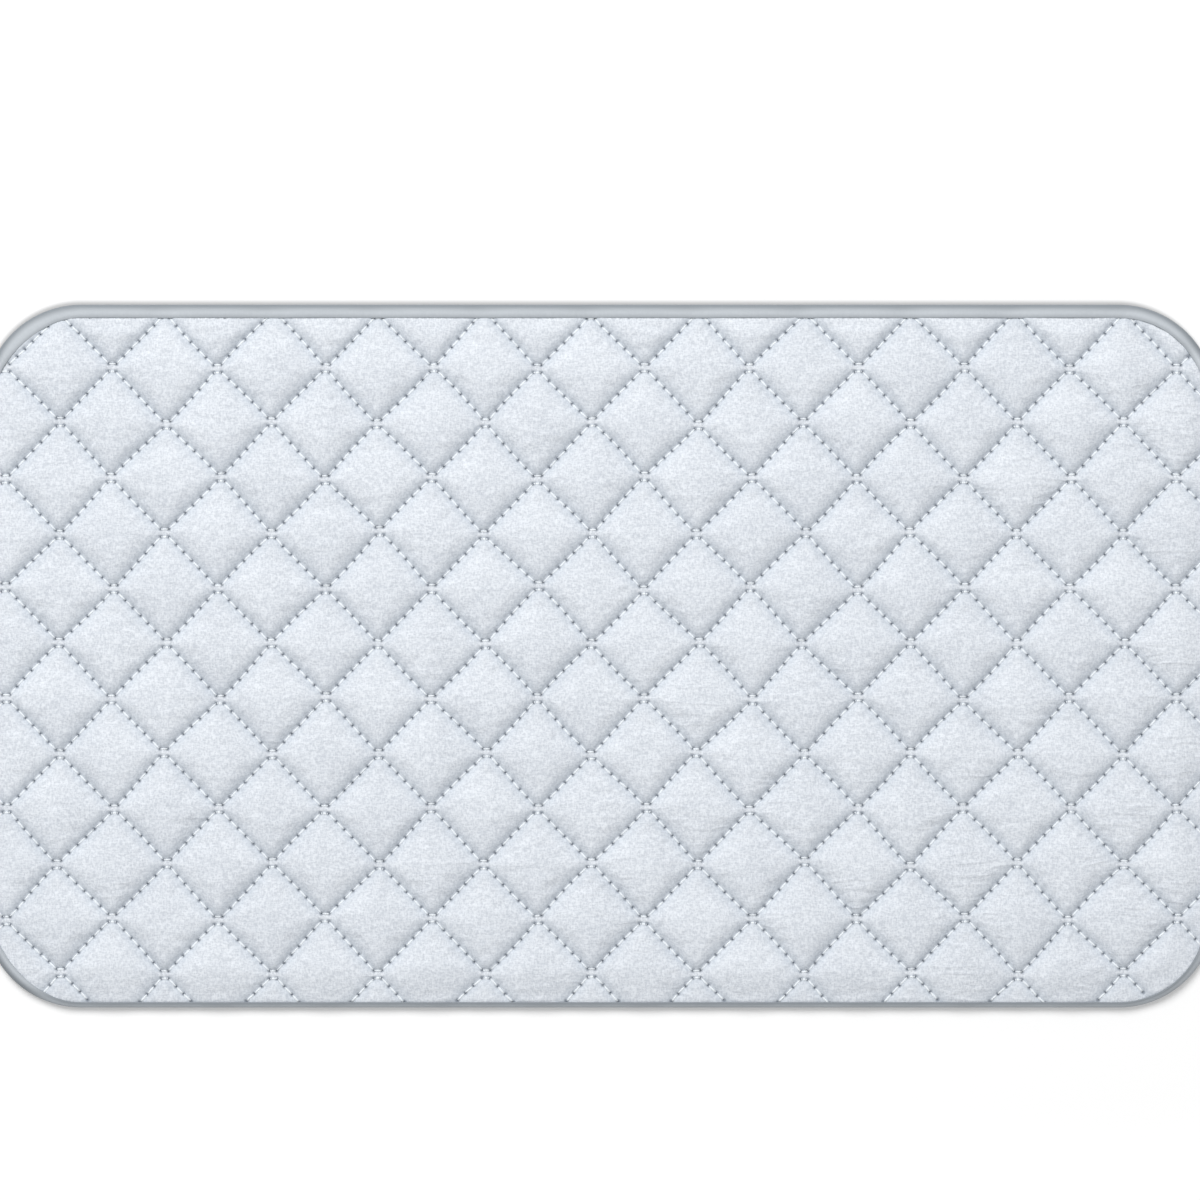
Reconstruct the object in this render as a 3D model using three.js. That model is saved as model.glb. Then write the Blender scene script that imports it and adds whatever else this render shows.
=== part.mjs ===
// A quilted ironing pad that lies flat on a table: two cloth covers with wadding between them,
// lock-stitched together in rows that zigzag along the pad and meet tip to tip, so that the cloth
// swells into diamonds, and a folded tape bound round the edge by a seam hidden inside its fold.
// Millimetres. X runs along the pad, Y across it, +Z up from the table. The origin is on the table,
// under the middle of the pad.

import * as THREE from 'three';

// The finished pad, measured over the binding
const padLength = 850;
const padWidth = 485;
const cornerRadius = 67;
const cornerSteps = 7;

// Quilting: a diamond's two diagonals, and the stitch crossing nearest the middle of the pad
const diamondLength = 73.4;
const diamondWidth = 76;
const crossingX = -5.9;
const crossingY = 8.6;
const topLoft = 4.4;
const rowSpacing = 5.4; // between two rows of stitching where their flat tips face each other

// Cloth, wadding and thread
const coverThickness = 0.6;
const backingThickness = 0.6;
const nippedWadding = 0.8; // squeezed flat under the stitches
const threadDiameter = 0.9;

// Binding: a tape folded round the raw edge, wider along the far side than along the near one
const tapeThickness = 0.8;
const tapeFace = 6.6;
const tapeBack = 8;
const faceShiftX = -1;
const faceShiftY = -2.7;
const foldRounding = 1.6;
const seamInset = 2.6;

// Running room between pieces that touch on the real pad
const clearance = 0.3;

// Heights, from the table up. Where a row's tip cuts across the corner of a diamond the cloth has already
// climbed a share of its loft, so the thread lies that much further from the stitch line.
const threadRadius = threadDiameter / 2;
const diamondInradius = (diamondLength * diamondWidth) / 2 / Math.hypot(diamondLength, diamondWidth);
const tipClimb = rowSpacing / diamondWidth + threadRadius / diamondInradius;

const backValley = (tapeThickness + threadDiameter + 2 * clearance) / (1 - tipClimb);
const backing = { valley: backValley, crown: 0, thickness: backingThickness };

const wadding = {
  valley: backing.valley + backing.thickness + clearance,
  crown: backing.crown + backing.thickness + clearance,
  thickness: nippedWadding,
  loft: topLoft + backing.valley - backing.crown,
};

const cover = {
  valley: wadding.valley + wadding.thickness + clearance,
  crown: wadding.crown + wadding.thickness + wadding.loft + clearance,
  thickness: coverThickness,
};

const bobbinHeight = tapeThickness + clearance + threadRadius;
const needleHeight = cover.valley + cover.thickness + clearance + tipClimb * topLoft + threadRadius;
const lipUnderside = needleHeight + threadRadius + clearance;
const bindingHeight = lipUnderside + tapeThickness;

// Outlines, seen from above and running anticlockwise. Each has the same stations round its corners,
// so that a station of one lines up with that station of another.
function roundedOutline(inset, shiftX = 0, shiftY = 0) {
  const radius = cornerRadius - inset;
  const points = [];
  for (let corner = 0; corner < 4; corner++) {
    const signX = corner === 0 || corner === 3 ? 1 : -1;
    const signY = corner < 2 ? 1 : -1;
    const centreX = signX * (padLength / 2 - cornerRadius) + shiftX;
    const centreY = signY * (padWidth / 2 - cornerRadius) + shiftY;
    for (let step = 0; step <= cornerSteps; step++) {
      const angle = (corner + step / cornerSteps) * (Math.PI / 2);
      points.push(new THREE.Vector2(centreX + radius * Math.cos(angle), centreY + radius * Math.sin(angle)));
    }
  }
  return points;
}

const rawEdge = roundedOutline(tapeThickness + clearance);
const faceWindow = roundedOutline(tapeFace, faceShiftX, faceShiftY);
const seamLine = roundedOutline(seamInset);
const threadLimit = roundedOutline(seamInset + threadDiameter + clearance);

const next = (i, list) => list[(i + 1) % list.length];

// How far a point lies to the left of the line from one point to another, in plan
function leftOf(point, from, to) {
  return to.clone().sub(from).normalize().cross(point.clone().sub(from));
}

// The part of a convex polygon that lies inside a convex outline, cut by each side of it in turn
function clipPolygon(polygon, outline) {
  let kept = polygon;
  outline.forEach((from, side) => {
    const to = next(side, outline);
    const before = kept;
    kept = [];
    before.forEach((a, i) => {
      const b = next(i, before);
      const da = leftOf(a, from, to);
      const db = leftOf(b, from, to);
      if (da >= 0) kept.push(a);
      if (da * db < 0) kept.push(a.clone().lerp(b, da / (da - db)));
    });
  });
  return kept;
}

// The runs of an open line that lie inside a convex outline
function clipLine(line, outline) {
  const runs = [];
  for (let i = 0; i + 1 < line.length; i++) {
    let enter = 0;
    let leave = 1;
    outline.forEach((from, side) => {
      const to = next(side, outline);
      const da = leftOf(line[i], from, to);
      const db = leftOf(line[i + 1], from, to);
      if (da < 0 && db < 0) leave = -1;
      else if (da < 0) enter = Math.max(enter, da / (da - db));
      else if (db < 0) leave = Math.min(leave, da / (da - db));
    });
    if (enter >= leave) continue;
    if (enter > 0 || !runs.length) runs.push([line[i].clone().lerp(line[i + 1], enter)]);
    runs.at(-1).push(line[i].clone().lerp(line[i + 1], leave));
  }
  return runs;
}

// The quilted panel in plan: points with the share of the loft that each one has, and triangles.
// Each diamond, cut by the window in the binding, is a fan round its own crown.
function quiltedPlan() {
  const plan = { points: [], loft: [], triangles: [], rim: [] };
  const known = new Map();
  const add = (point, loft) => {
    const key = point.x.toFixed(3) + ',' + point.y.toFixed(3);
    if (!known.has(key)) {
      known.set(key, plan.points.length);
      plan.points.push(point);
      plan.loft.push(loft);
    }
    return known.get(key);
  };

  const halfLength = diamondLength / 2;
  const halfWidth = diamondWidth / 2;
  const columns = Math.ceil(padLength / diamondLength) * 2;
  const rows = Math.ceil(padWidth / diamondWidth) * 2;
  const border = new Map();

  for (let column = -columns; column <= columns; column++) {
    for (let row = -rows; row <= rows; row++) {
      if ((column + row) % 2 === 0) continue;
      const middle = new THREE.Vector2(crossingX + column * halfLength, crossingY + row * halfWidth);
      const tips = [[halfLength, 0], [0, halfWidth], [-halfLength, 0], [0, -halfWidth]];
      const diamond = tips.map(([x, y]) => middle.clone().add(new THREE.Vector2(x, y)));
      const cell = clipPolygon(diamond, faceWindow);
      if (cell.length < 3) continue;

      const crown = cell.reduce((sum, p) => sum.add(p), new THREE.Vector2()).divideScalar(cell.length);
      const reach = Math.min(...cell.map((p, i) => leftOf(crown, p, next(i, cell))));
      const top = add(crown, Math.min(1, reach / diamondInradius));
      const ring = cell.map((p) => add(p, 0));
      ring.forEach((a, i) => plan.triangles.push([top, a, next(i, ring)]));
      ring.forEach((a) => border.set(a, borderPlace(plan.points[a])));
    }
  }

  // The strip that lies under the binding, from the window out to the raw edge
  const inner = [...border].filter(([, place]) => place !== null).sort((a, b) => a[1] - b[1]);
  const outer = inner.map(([, place]) => add(pointAlong(rawEdge, place), 0));
  inner.forEach(([a], i) => {
    const [b] = next(i, inner);
    plan.triangles.push([a, outer[i], next(i, outer)], [a, next(i, outer), b]);
  });
  plan.rim = outer;
  return plan;
}

// Where a point lies on the window's outline, as a station and the share of the way to the next one
function borderPlace(point) {
  const nearby = 1e-6;
  for (let i = 0; i < faceWindow.length; i++) {
    const from = faceWindow[i];
    const to = next(i, faceWindow);
    const share = point.clone().sub(from).dot(to.clone().sub(from)) / from.distanceToSquared(to);
    const off = Math.abs(leftOf(point, from, to));
    if (off < nearby && share > -nearby && share < 1 - nearby) return i + Math.max(0, share);
  }
  return null;
}

function pointAlong(outline, place) {
  const station = Math.floor(place);
  return outline[station].clone().lerp(next(station, outline), place - station);
}

function geometryOf(vertices, triangles) {
  const geometry = new THREE.BufferGeometry();
  geometry.setAttribute('position', new THREE.Float32BufferAttribute(vertices.flat(), 3));
  geometry.setIndex(triangles.flat());
  geometry.computeVertexNormals();
  return geometry;
}

// A layer of the quilt: the plan lifted to the layer's lower and upper faces and closed round its edge
function quiltedLayer(plan, layer) {
  const { valley, crown, thickness, loft = 0 } = layer;
  const count = plan.points.length;
  const lower = plan.points.map((p, i) => [p.x, p.y, valley + (crown - valley) * plan.loft[i]]);
  const upper = lower.map(([x, y, z], i) => [x, y, z + thickness + loft * plan.loft[i]]);
  const triangles = [];
  for (const [a, b, c] of plan.triangles) {
    triangles.push([a + count, b + count, c + count], [c, b, a]);
  }
  plan.rim.forEach((a, i) => {
    const b = next(i, plan.rim);
    triangles.push([a, b, b + count], [a, b + count, a + count]);
  });
  return geometryOf([...lower, ...upper], triangles);
}

// A square-section thread along a line in plan, mitred where the line turns
function threadGeometry(line, height, closed) {
  const vertices = [];
  const triangles = [];
  line.forEach((point, i) => {
    const before = closed ? line.at(i - 1) : line[Math.max(0, i - 1)];
    const after = closed ? next(i, line) : line[Math.min(line.length - 1, i + 1)];
    const arriving = point.equals(before) ? after.clone().sub(point) : point.clone().sub(before);
    const leaving = point.equals(after) ? arriving.clone() : after.clone().sub(point);
    const across = arriving.normalize().add(leaving.normalize()).normalize();
    const side = new THREE.Vector2(-across.y, across.x).multiplyScalar(threadRadius / across.dot(leaving));
    vertices.push([point.x - side.x, point.y - side.y, height], [point.x, point.y, height - threadRadius]);
    vertices.push([point.x + side.x, point.y + side.y, height], [point.x, point.y, height + threadRadius]);
  });
  const sides = vertices.length / line.length;
  const spans = closed ? line.length : line.length - 1;
  for (let i = 0; i < spans; i++) {
    const here = i * sides;
    const there = ((i + 1) % line.length) * sides;
    for (let k = 0; k < sides; k++) {
      const m = (k + 1) % sides;
      triangles.push([here + k, there + m, there + k], [here + k, here + m, there + m]);
    }
  }
  if (!closed) {
    const last = spans * sides;
    triangles.push([0, 3, 2], [0, 2, 1]);
    triangles.push([last, last + 1, last + 2], [last, last + 2, last + 3]);
  }
  return geometryOf(vertices, triangles);
}

// The lengths of thread in the rows of quilting, from the far side to the near one. A row zigzags between
// two lines of crossings, turns with a flat tip half the row spacing short of each crossing, and stops at
// the binding's own seam.
function quiltingThreads() {
  const halfLength = diamondLength / 2;
  const halfWidth = diamondWidth / 2;
  const columns = Math.ceil(padLength / diamondLength);
  const farthest = Math.ceil(padWidth / diamondWidth);
  const halfTip = (rowSpacing / 2) * (diamondLength / diamondWidth);
  const shortest = Math.hypot(halfLength, halfWidth) / 2;
  const threads = [];
  for (let row = farthest; row >= -farthest; row--) {
    const line = [];
    for (let column = -columns; column <= columns; column++) {
      const onFarTip = (column + row) % 2 === 0;
      const crossing = crossingY + (onFarTip ? row : row - 1) * halfWidth;
      const tip = crossing + (onFarTip ? -rowSpacing : rowSpacing) / 2;
      const middle = crossingX + column * halfLength;
      line.push(new THREE.Vector2(middle - halfTip, tip), new THREE.Vector2(middle + halfTip, tip));
    }
    threads.push(...clipLine(line, threadLimit).filter((run) => lengthOf(run) > shortest));
  }
  return threads;
}

function lengthOf(line) {
  return line.slice(1).reduce((sum, p, i) => sum + p.distanceTo(line[i]), 0);
}

// The tape: one section, folded round the raw edge, carried round every station of the outline
function bindingGeometry() {
  const lip = roundedOutline(tapeBack);
  const outside = roundedOutline(0);
  const shoulder = roundedOutline(foldRounding);
  const wall = roundedOutline(tapeThickness);
  const section = [
    [lip, 0],
    [shoulder, 0],
    [outside, foldRounding],
    [outside, bindingHeight - foldRounding],
    [shoulder, bindingHeight],
    [faceWindow, bindingHeight],
    [faceWindow, lipUnderside],
    [wall, lipUnderside],
    [wall, tapeThickness],
    [lip, tapeThickness],
  ];
  const sides = section.length;
  const stations = outside.length;
  const vertices = [];
  const triangles = [];
  for (let i = 0; i < stations; i++) {
    section.forEach(([outline, z]) => vertices.push([outline[i].x, outline[i].y, z]));
    const here = i * sides;
    const there = ((i + 1) % stations) * sides;
    for (let k = 0; k < sides; k++) {
      const m = (k + 1) % sides;
      triangles.push([here + k, there + k, there + m], [here + k, there + m, here + m]);
    }
  }
  return geometryOf(vertices, triangles);
}

const silverCloth = { color: 0xdfe5ed, roughness: 0.62, metalness: 0.05 };
const whiteWadding = { color: 0xf2f1ec, roughness: 0.95, metalness: 0 };
const backingCloth = { color: 0xc9ced4, roughness: 0.85, metalness: 0 };
const greyTape = { color: 0xb4bac1, roughness: 0.55, metalness: 0 };
const whiteThread = { color: 0xeef1f6, roughness: 0.5, metalness: 0 };

const pad = new THREE.Group();
pad.name = 'ironing_pad';

function addPiece(name, geometry, finish) {
  const material = new THREE.MeshStandardMaterial({ ...finish, flatShading: true });
  const mesh = new THREE.Mesh(geometry, material);
  mesh.name = name;
  pad.add(mesh);
}

const plan = quiltedPlan();
addPiece('top_cover', quiltedLayer(plan, cover), silverCloth);
addPiece('wadding', quiltedLayer(plan, wadding), whiteWadding);
addPiece('backing_cover', quiltedLayer(plan, backing), backingCloth);
addPiece('edge_binding', bindingGeometry(), greyTape);
addPiece('binding_needle_thread', threadGeometry(seamLine, needleHeight, true), whiteThread);
addPiece('binding_bobbin_thread', threadGeometry(seamLine, bobbinHeight, true), whiteThread);

// A whole row is stitched with a thread on the face and another underneath. Where the binding cuts a row
// through it leaves tips, which are made on the face alone.
const threads = quiltingThreads();
const isWhole = (thread) => lengthOf(thread) > padLength / 2;
const numbered = (name, i) => name + String(i + 1).padStart(2, '0');

threads.filter(isWhole).forEach((row, i) => {
  addPiece(numbered('needle_thread_', i), threadGeometry(row, needleHeight, false), whiteThread);
  addPiece(numbered('bobbin_thread_', i), threadGeometry(row, bobbinHeight, false), whiteThread);
});
threads.filter((thread) => !isWhole(thread)).forEach((tip, i) => {
  addPiece(numbered('needle_tip_', i), threadGeometry(tip, needleHeight, false), whiteThread);
});

export default pad;
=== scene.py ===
"""The looks of a quilted ironing pad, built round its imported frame.

The pad is a silvery face cloth, a layer of wadding and a plain backing cloth. Rows of lock stitch run
along it in zigzags, and neighbouring rows almost meet at their tips, so the rows mark the pad out in
diamonds. A folded tape binds the raw edge. Sizes are in metres, x runs along the pad, y across it and
z up from the table. The picture is taken to be 1200 by 1200.
"""

import logging
from dataclasses import dataclass, field, replace
from enum import Enum

import bpy
import numpy as np
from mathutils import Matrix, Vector


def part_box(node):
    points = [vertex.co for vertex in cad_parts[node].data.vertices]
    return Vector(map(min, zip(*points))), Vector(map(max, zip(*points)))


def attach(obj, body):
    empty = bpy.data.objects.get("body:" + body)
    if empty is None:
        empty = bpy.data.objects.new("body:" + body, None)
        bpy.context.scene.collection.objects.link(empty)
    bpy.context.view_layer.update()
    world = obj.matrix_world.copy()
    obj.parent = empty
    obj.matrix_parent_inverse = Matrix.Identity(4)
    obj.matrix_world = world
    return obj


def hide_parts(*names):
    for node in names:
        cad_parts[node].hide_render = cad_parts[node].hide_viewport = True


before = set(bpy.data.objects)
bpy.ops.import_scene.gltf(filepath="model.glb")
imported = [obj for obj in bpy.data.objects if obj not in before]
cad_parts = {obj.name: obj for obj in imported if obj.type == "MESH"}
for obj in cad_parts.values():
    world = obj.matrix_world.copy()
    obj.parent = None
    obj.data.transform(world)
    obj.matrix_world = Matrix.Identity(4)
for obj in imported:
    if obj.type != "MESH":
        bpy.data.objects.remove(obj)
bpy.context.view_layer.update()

MM = 0.001
PAD_LENGTH = 850.0 * MM
PAD_WIDTH = 485.0 * MM
CORNER_RADIUS = 67.0 * MM
TINY = 1e-9
SMALL = 1e-6
BODY = "root"
BAKE_MAP = "OFBake"
RUN_MAP = "run"
FOLD_SHADE = "fold_shade"
HOLE_END_SHADE = "hole_end_shade"
LOG = logging.getLogger("ironing_pad")

Array = np.ndarray
Span = tuple[float, float]
Colour = tuple[float, float, float, float]
Socket = bpy.types.NodeSocket
Node = bpy.types.Node
Tree = bpy.types.ShaderNodeTree
Material = bpy.types.Material
Piece = bpy.types.Object

WHITE: Colour = (1.0, 1.0, 1.0, 1.0)
BLACK: Colour = (0.0, 0.0, 0.0, 1.0)


class Slot(Enum):
    """The record's material slots."""

    COVER = "cover_cloth"
    WADDING = "wadding"
    BACKING = "backing_cloth"
    TAPE = "binding_tape"
    THREAD = "thread"


class Side(Enum):
    """Which way a cloth or a thread faces, as the sign of its outward direction along z."""

    FACE = 1.0
    BACK = -1.0


def smooth_step(low: float, high: float, value: Array) -> Array:
    """Rises from 0 at low to 1 at high as 3t^2 - 2t^3.

    Args:
        low: Where the rise begins.
        high: Where it ends.
        value: Any array.

    Returns:
        An array of the same shape.
    """
    t = np.clip((value - low) / (high - low), 0.0, 1.0)
    return t * t * (3.0 - 2.0 * t)


def grid_quads(rows: int, columns: int, ring: bool = False, tube: bool = False) -> Array:
    """Corner numbers of the quads of a grid whose points are counted row by row.

    Args:
        rows: Points along the grid.
        columns: Points across it.
        ring: True if the last row joins the first.
        tube: True if the last column joins the first.

    Returns:
        An array of four numbers for each quad.
    """
    r, c = np.meshgrid(
        np.arange(rows if ring else rows - 1),
        np.arange(columns if tube else columns - 1),
        indexing="ij",
    )
    r_next, c_next = (r + 1) % rows, (c + 1) % columns
    corners = [r * columns + c, r_next * columns + c, r_next * columns + c_next, r * columns + c_next]
    return np.stack(corners, axis=-1).reshape(-1, 4)


def new_piece(name: str, points: Array, faces: list[list[int]]) -> Piece:
    """Makes a smooth-shaded mesh object that sits at the origin.

    Args:
        name: The piece's name.
        points: Its points, one row each.
        faces: The corner numbers of its faces.

    Returns:
        The new object, in the scene.
    """
    mesh = bpy.data.meshes.new(name)
    mesh.from_pydata(points.tolist(), [], faces)
    mesh.polygons.foreach_set("use_smooth", np.ones(len(mesh.polygons), dtype=bool))
    mesh.update()
    piece = bpy.data.objects.new(name, mesh)
    bpy.context.scene.collection.objects.link(piece)
    return piece


def set_map(piece: Piece, name: str, places: Array) -> None:
    """Gives a piece a UV map.

    Args:
        piece: The piece.
        name: The map's name.
        places: The first face corners' places on the map, in the order of the faces. Other corners
            stay at the map's origin.
    """
    layer = piece.data.uv_layers.new(name=name)
    whole = np.zeros((len(piece.data.loops), 2), dtype=np.float32)
    whole[: len(places)] = places
    layer.uv.foreach_set("vector", whole.ravel())


def grid_map(along: Array, across: Array) -> Array:
    """The places on a map of the corners of a grid's quads, so that a ring's seam doesn't run back.

    Args:
        along: How far along each row lies, with one more for a ring's closing row.
        across: How far across each column lies, with one more for a tube's closing column.

    Returns:
        One place for each quad corner, in the order of grid_quads.
    """
    u, v = np.meshgrid(along, across, indexing="ij")
    corner = np.stack([u, v], axis=-1)
    quads = [corner[:-1, :-1], corner[1:, :-1], corner[1:, 1:], corner[:-1, 1:]]
    return np.stack(quads, axis=2).reshape(-1, 2)


def join_frame(piece: Piece, slot: Slot, *nodes: str) -> None:
    """Lets a piece ride on the pad and stand for its CAD nodes.

    Args:
        piece: The piece.
        slot: The record's slot; not used.
        nodes: The CAD nodes that it replaces, if any.
    """
    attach(piece, BODY)
    if nodes:
        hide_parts(*nodes)
    LOG.info("%s: %d faces", piece.name, len(piece.data.polygons))


@dataclass(frozen=True)
class RoundedOutline:
    """A rectangle with round corners, seen from above."""

    half_length: float
    half_width: float
    radius: float
    shift: Span = (0.0, 0.0)
    left_fill: float = 0.0

    def inset(self, distance: float) -> "RoundedOutline":
        """The outline that lies this far inside."""
        return RoundedOutline(self.half_length - distance, self.half_width - distance, self.radius - distance)

    def depth(self, x: Array, y: Array) -> Array:
        """How far inside the outline points lie, below 0 outside.

        A point past both corner centres is measured from the corner's arc, and any other from the
        nearer side. In the two left corners the fill is taken off, times sin^2 of twice the turn.

        Args:
            x: Places along the pad.
            y: Places across it.

        Returns:
            The depth of each point.
        """
        past_x = np.abs(x - self.shift[0]) - (self.half_length - self.radius)
        past_y = np.abs(y - self.shift[1]) - (self.half_width - self.radius)
        over_x, over_y = np.maximum(past_x, 0.0), np.maximum(past_y, 0.0)
        beyond = np.hypot(over_x, over_y)
        turn = np.where(x < self.shift[0], 2 * over_x * over_y / np.maximum(beyond, TINY) ** 2, 0.0)
        core = np.minimum(np.maximum(past_x, past_y), 0.0)
        return self.radius - beyond - core - self.left_fill * turn**2

    def pulled_in(self, x: Array, y: Array) -> tuple[Array, Array]:
        """Points that lie outside, moved straight back to the outline.

        Args:
            x: Places along the pad.
            y: Places across it.

        Returns:
            The places, with those inside left where they were.
        """
        core_x = np.clip(x - self.shift[0], self.radius - self.half_length, self.half_length - self.radius)
        core_y = np.clip(y - self.shift[1], self.radius - self.half_width, self.half_width - self.radius)
        off_x, off_y = x - self.shift[0] - core_x, y - self.shift[1] - core_y
        share = np.minimum(1.0, self.radius / np.maximum(np.hypot(off_x, off_y), TINY))
        return self.shift[0] + core_x + off_x * share, self.shift[1] + core_y + off_y * share

    def walk(self, step: float, corner_steps: int) -> tuple[Array, Array, Array]:
        """Stations round the outline, counter-clockwise from the middle of the right end.

        Each corner is an arc of equal turns, and each side is cut into equal lengths near step.

        Args:
            step: The distance between stations on the sides.
            corner_steps: The turns in a corner.

        Returns:
            The places, the outward directions, and the distance walked to each station, with the
            whole way round as a last value.
        """
        core = np.array([self.half_length - self.radius, self.half_width - self.radius])
        signs = np.array([[1, 1], [-1, 1], [-1, -1], [1, -1]])
        places, outward = [], []
        for turn, sign in enumerate(signs):
            angle = (turn + np.linspace(0.0, 1.0, corner_steps + 1)) * np.pi / 2
            arc = np.stack([np.cos(angle), np.sin(angle)], axis=-1)
            places.append(sign * core + self.radius * arc)
            outward.append(arc)
            ends = np.stack([places[-1][-1], signs[(turn + 1) % 4] * core + self.radius * arc[-1]])
            count = max(2, round(float(np.linalg.norm(ends[1] - ends[0])) / step))
            share = np.arange(1, count)[:, None] / count
            places.append(ends[0] + (ends[1] - ends[0]) * share)
            outward.append(np.repeat(arc[-1:], count - 1, axis=0))
        place, out = np.concatenate(places), np.concatenate(outward)
        lengths = np.linalg.norm(np.roll(place, -1, axis=0) - place, axis=1)
        return place + np.array(self.shift), out, np.concatenate([[0.0], np.cumsum(lengths)])


@dataclass(frozen=True)
class Wander:
    """One wave of the sewing's wander: waves per metre along and across, turns, and how far it moves."""

    along: float
    across: float
    turns: float
    move: Span


@dataclass(frozen=True)
class Wrinkles:
    """A field of soft wrinkles: seed, shortest waves both ways, where broad swells fade, and height."""

    seed: int
    along: float
    across: float
    widest: float
    height: float = 1.0


@dataclass(frozen=True)
class DiamondLattice:
    """The plan of the quilting: two families of lines that cross at the diamonds' corners.

    Family a counts lines that fall to the right and family b lines that rise to the right. A point's
    two counts are x / length plus and minus y / width, from the crossing nearest the pad's middle.
    The sewing wanders off this plan by a sum of waves.
    """

    length: float = 73.4 * MM
    width: float = 76.0 * MM
    crossing: Span = (-5.9 * MM, 8.6 * MM)
    stitches: int = 7
    reach: int = 10
    waves: tuple[Wander, ...] = (
        Wander(3.1, 7.7, 0.10, (0.60 * MM, 0.36 * MM)),
        Wander(8.3, -2.9, 0.63, (0.24 * MM, 0.60 * MM)),
        Wander(5.7, 6.1, 0.37, (-0.48 * MM, 0.42 * MM)),
        Wander(-6.9, 4.3, 0.81, (0.42 * MM, 0.48 * MM)),
        Wander(11.3, 1.7, 0.22, (0.36 * MM, -0.30 * MM)),
    )

    @property
    def side(self) -> float:
        """The length of a diamond's side."""
        return float(np.hypot(self.length, self.width)) / 2

    @property
    def spacing(self) -> float:
        """The distance between neighbouring lines of a family."""
        return self.length * self.width / 2 / self.side

    def place(self, a: Array, b: Array) -> tuple[Array, Array]:
        """The places x and y of points with counts a and b."""
        return (
            self.crossing[0] + (a + b) * self.length / 2,
            self.crossing[1] + (a - b) * self.width / 2,
        )

    def counts(self, x: Array, y: Array) -> tuple[Array, Array]:
        """The counts a and b of points at x and y."""
        run, rise = (x - self.crossing[0]) / self.length, (y - self.crossing[1]) / self.width
        return run + rise, run - rise

    def sewn(self, x: Array, y: Array) -> tuple[Array, Array]:
        """Points of the plan as they are sewn: each wave moves them by its move times its sine.

        Args:
            x: Planned places along the pad.
            y: Planned places across it.

        Returns:
            The sewn places.
        """
        to_x, to_y = np.array(x), np.array(y)
        for wave in self.waves:
            swing = np.sin(2 * np.pi * (wave.along * x + wave.across * y + wave.turns))
            to_x, to_y = to_x + wave.move[0] * swing, to_y + wave.move[1] * swing
        return to_x, to_y

    def needle_holes(self, row: int) -> Array:
        """Where the needle goes through along one row, from left to right.

        The row's legs run from tip to tip between crossing lines row and row - 1. Each leg has a
        hole at every odd fourteenth, so the stitch that joins two legs lies flat across the tip.

        Args:
            row: The number of the crossing line that the row's upper tips touch.

        Returns:
            The holes' places, one row each.
        """
        column = np.arange(-self.reach * 2, self.reach * 2 + 1)
        line = np.where((column - row) % 2 == 0, row, row - 1)
        x, y = self.place((column + line) / 2, (column - line) / 2)
        tips = np.stack([x, y], axis=-1)
        share = (1 + 2 * np.arange(self.stitches)) / (2 * self.stitches)
        legs = tips[:-1, None] + (tips[1:] - tips[:-1])[:, None] * share[None, :, None]
        return legs.reshape(-1, 2)


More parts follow.
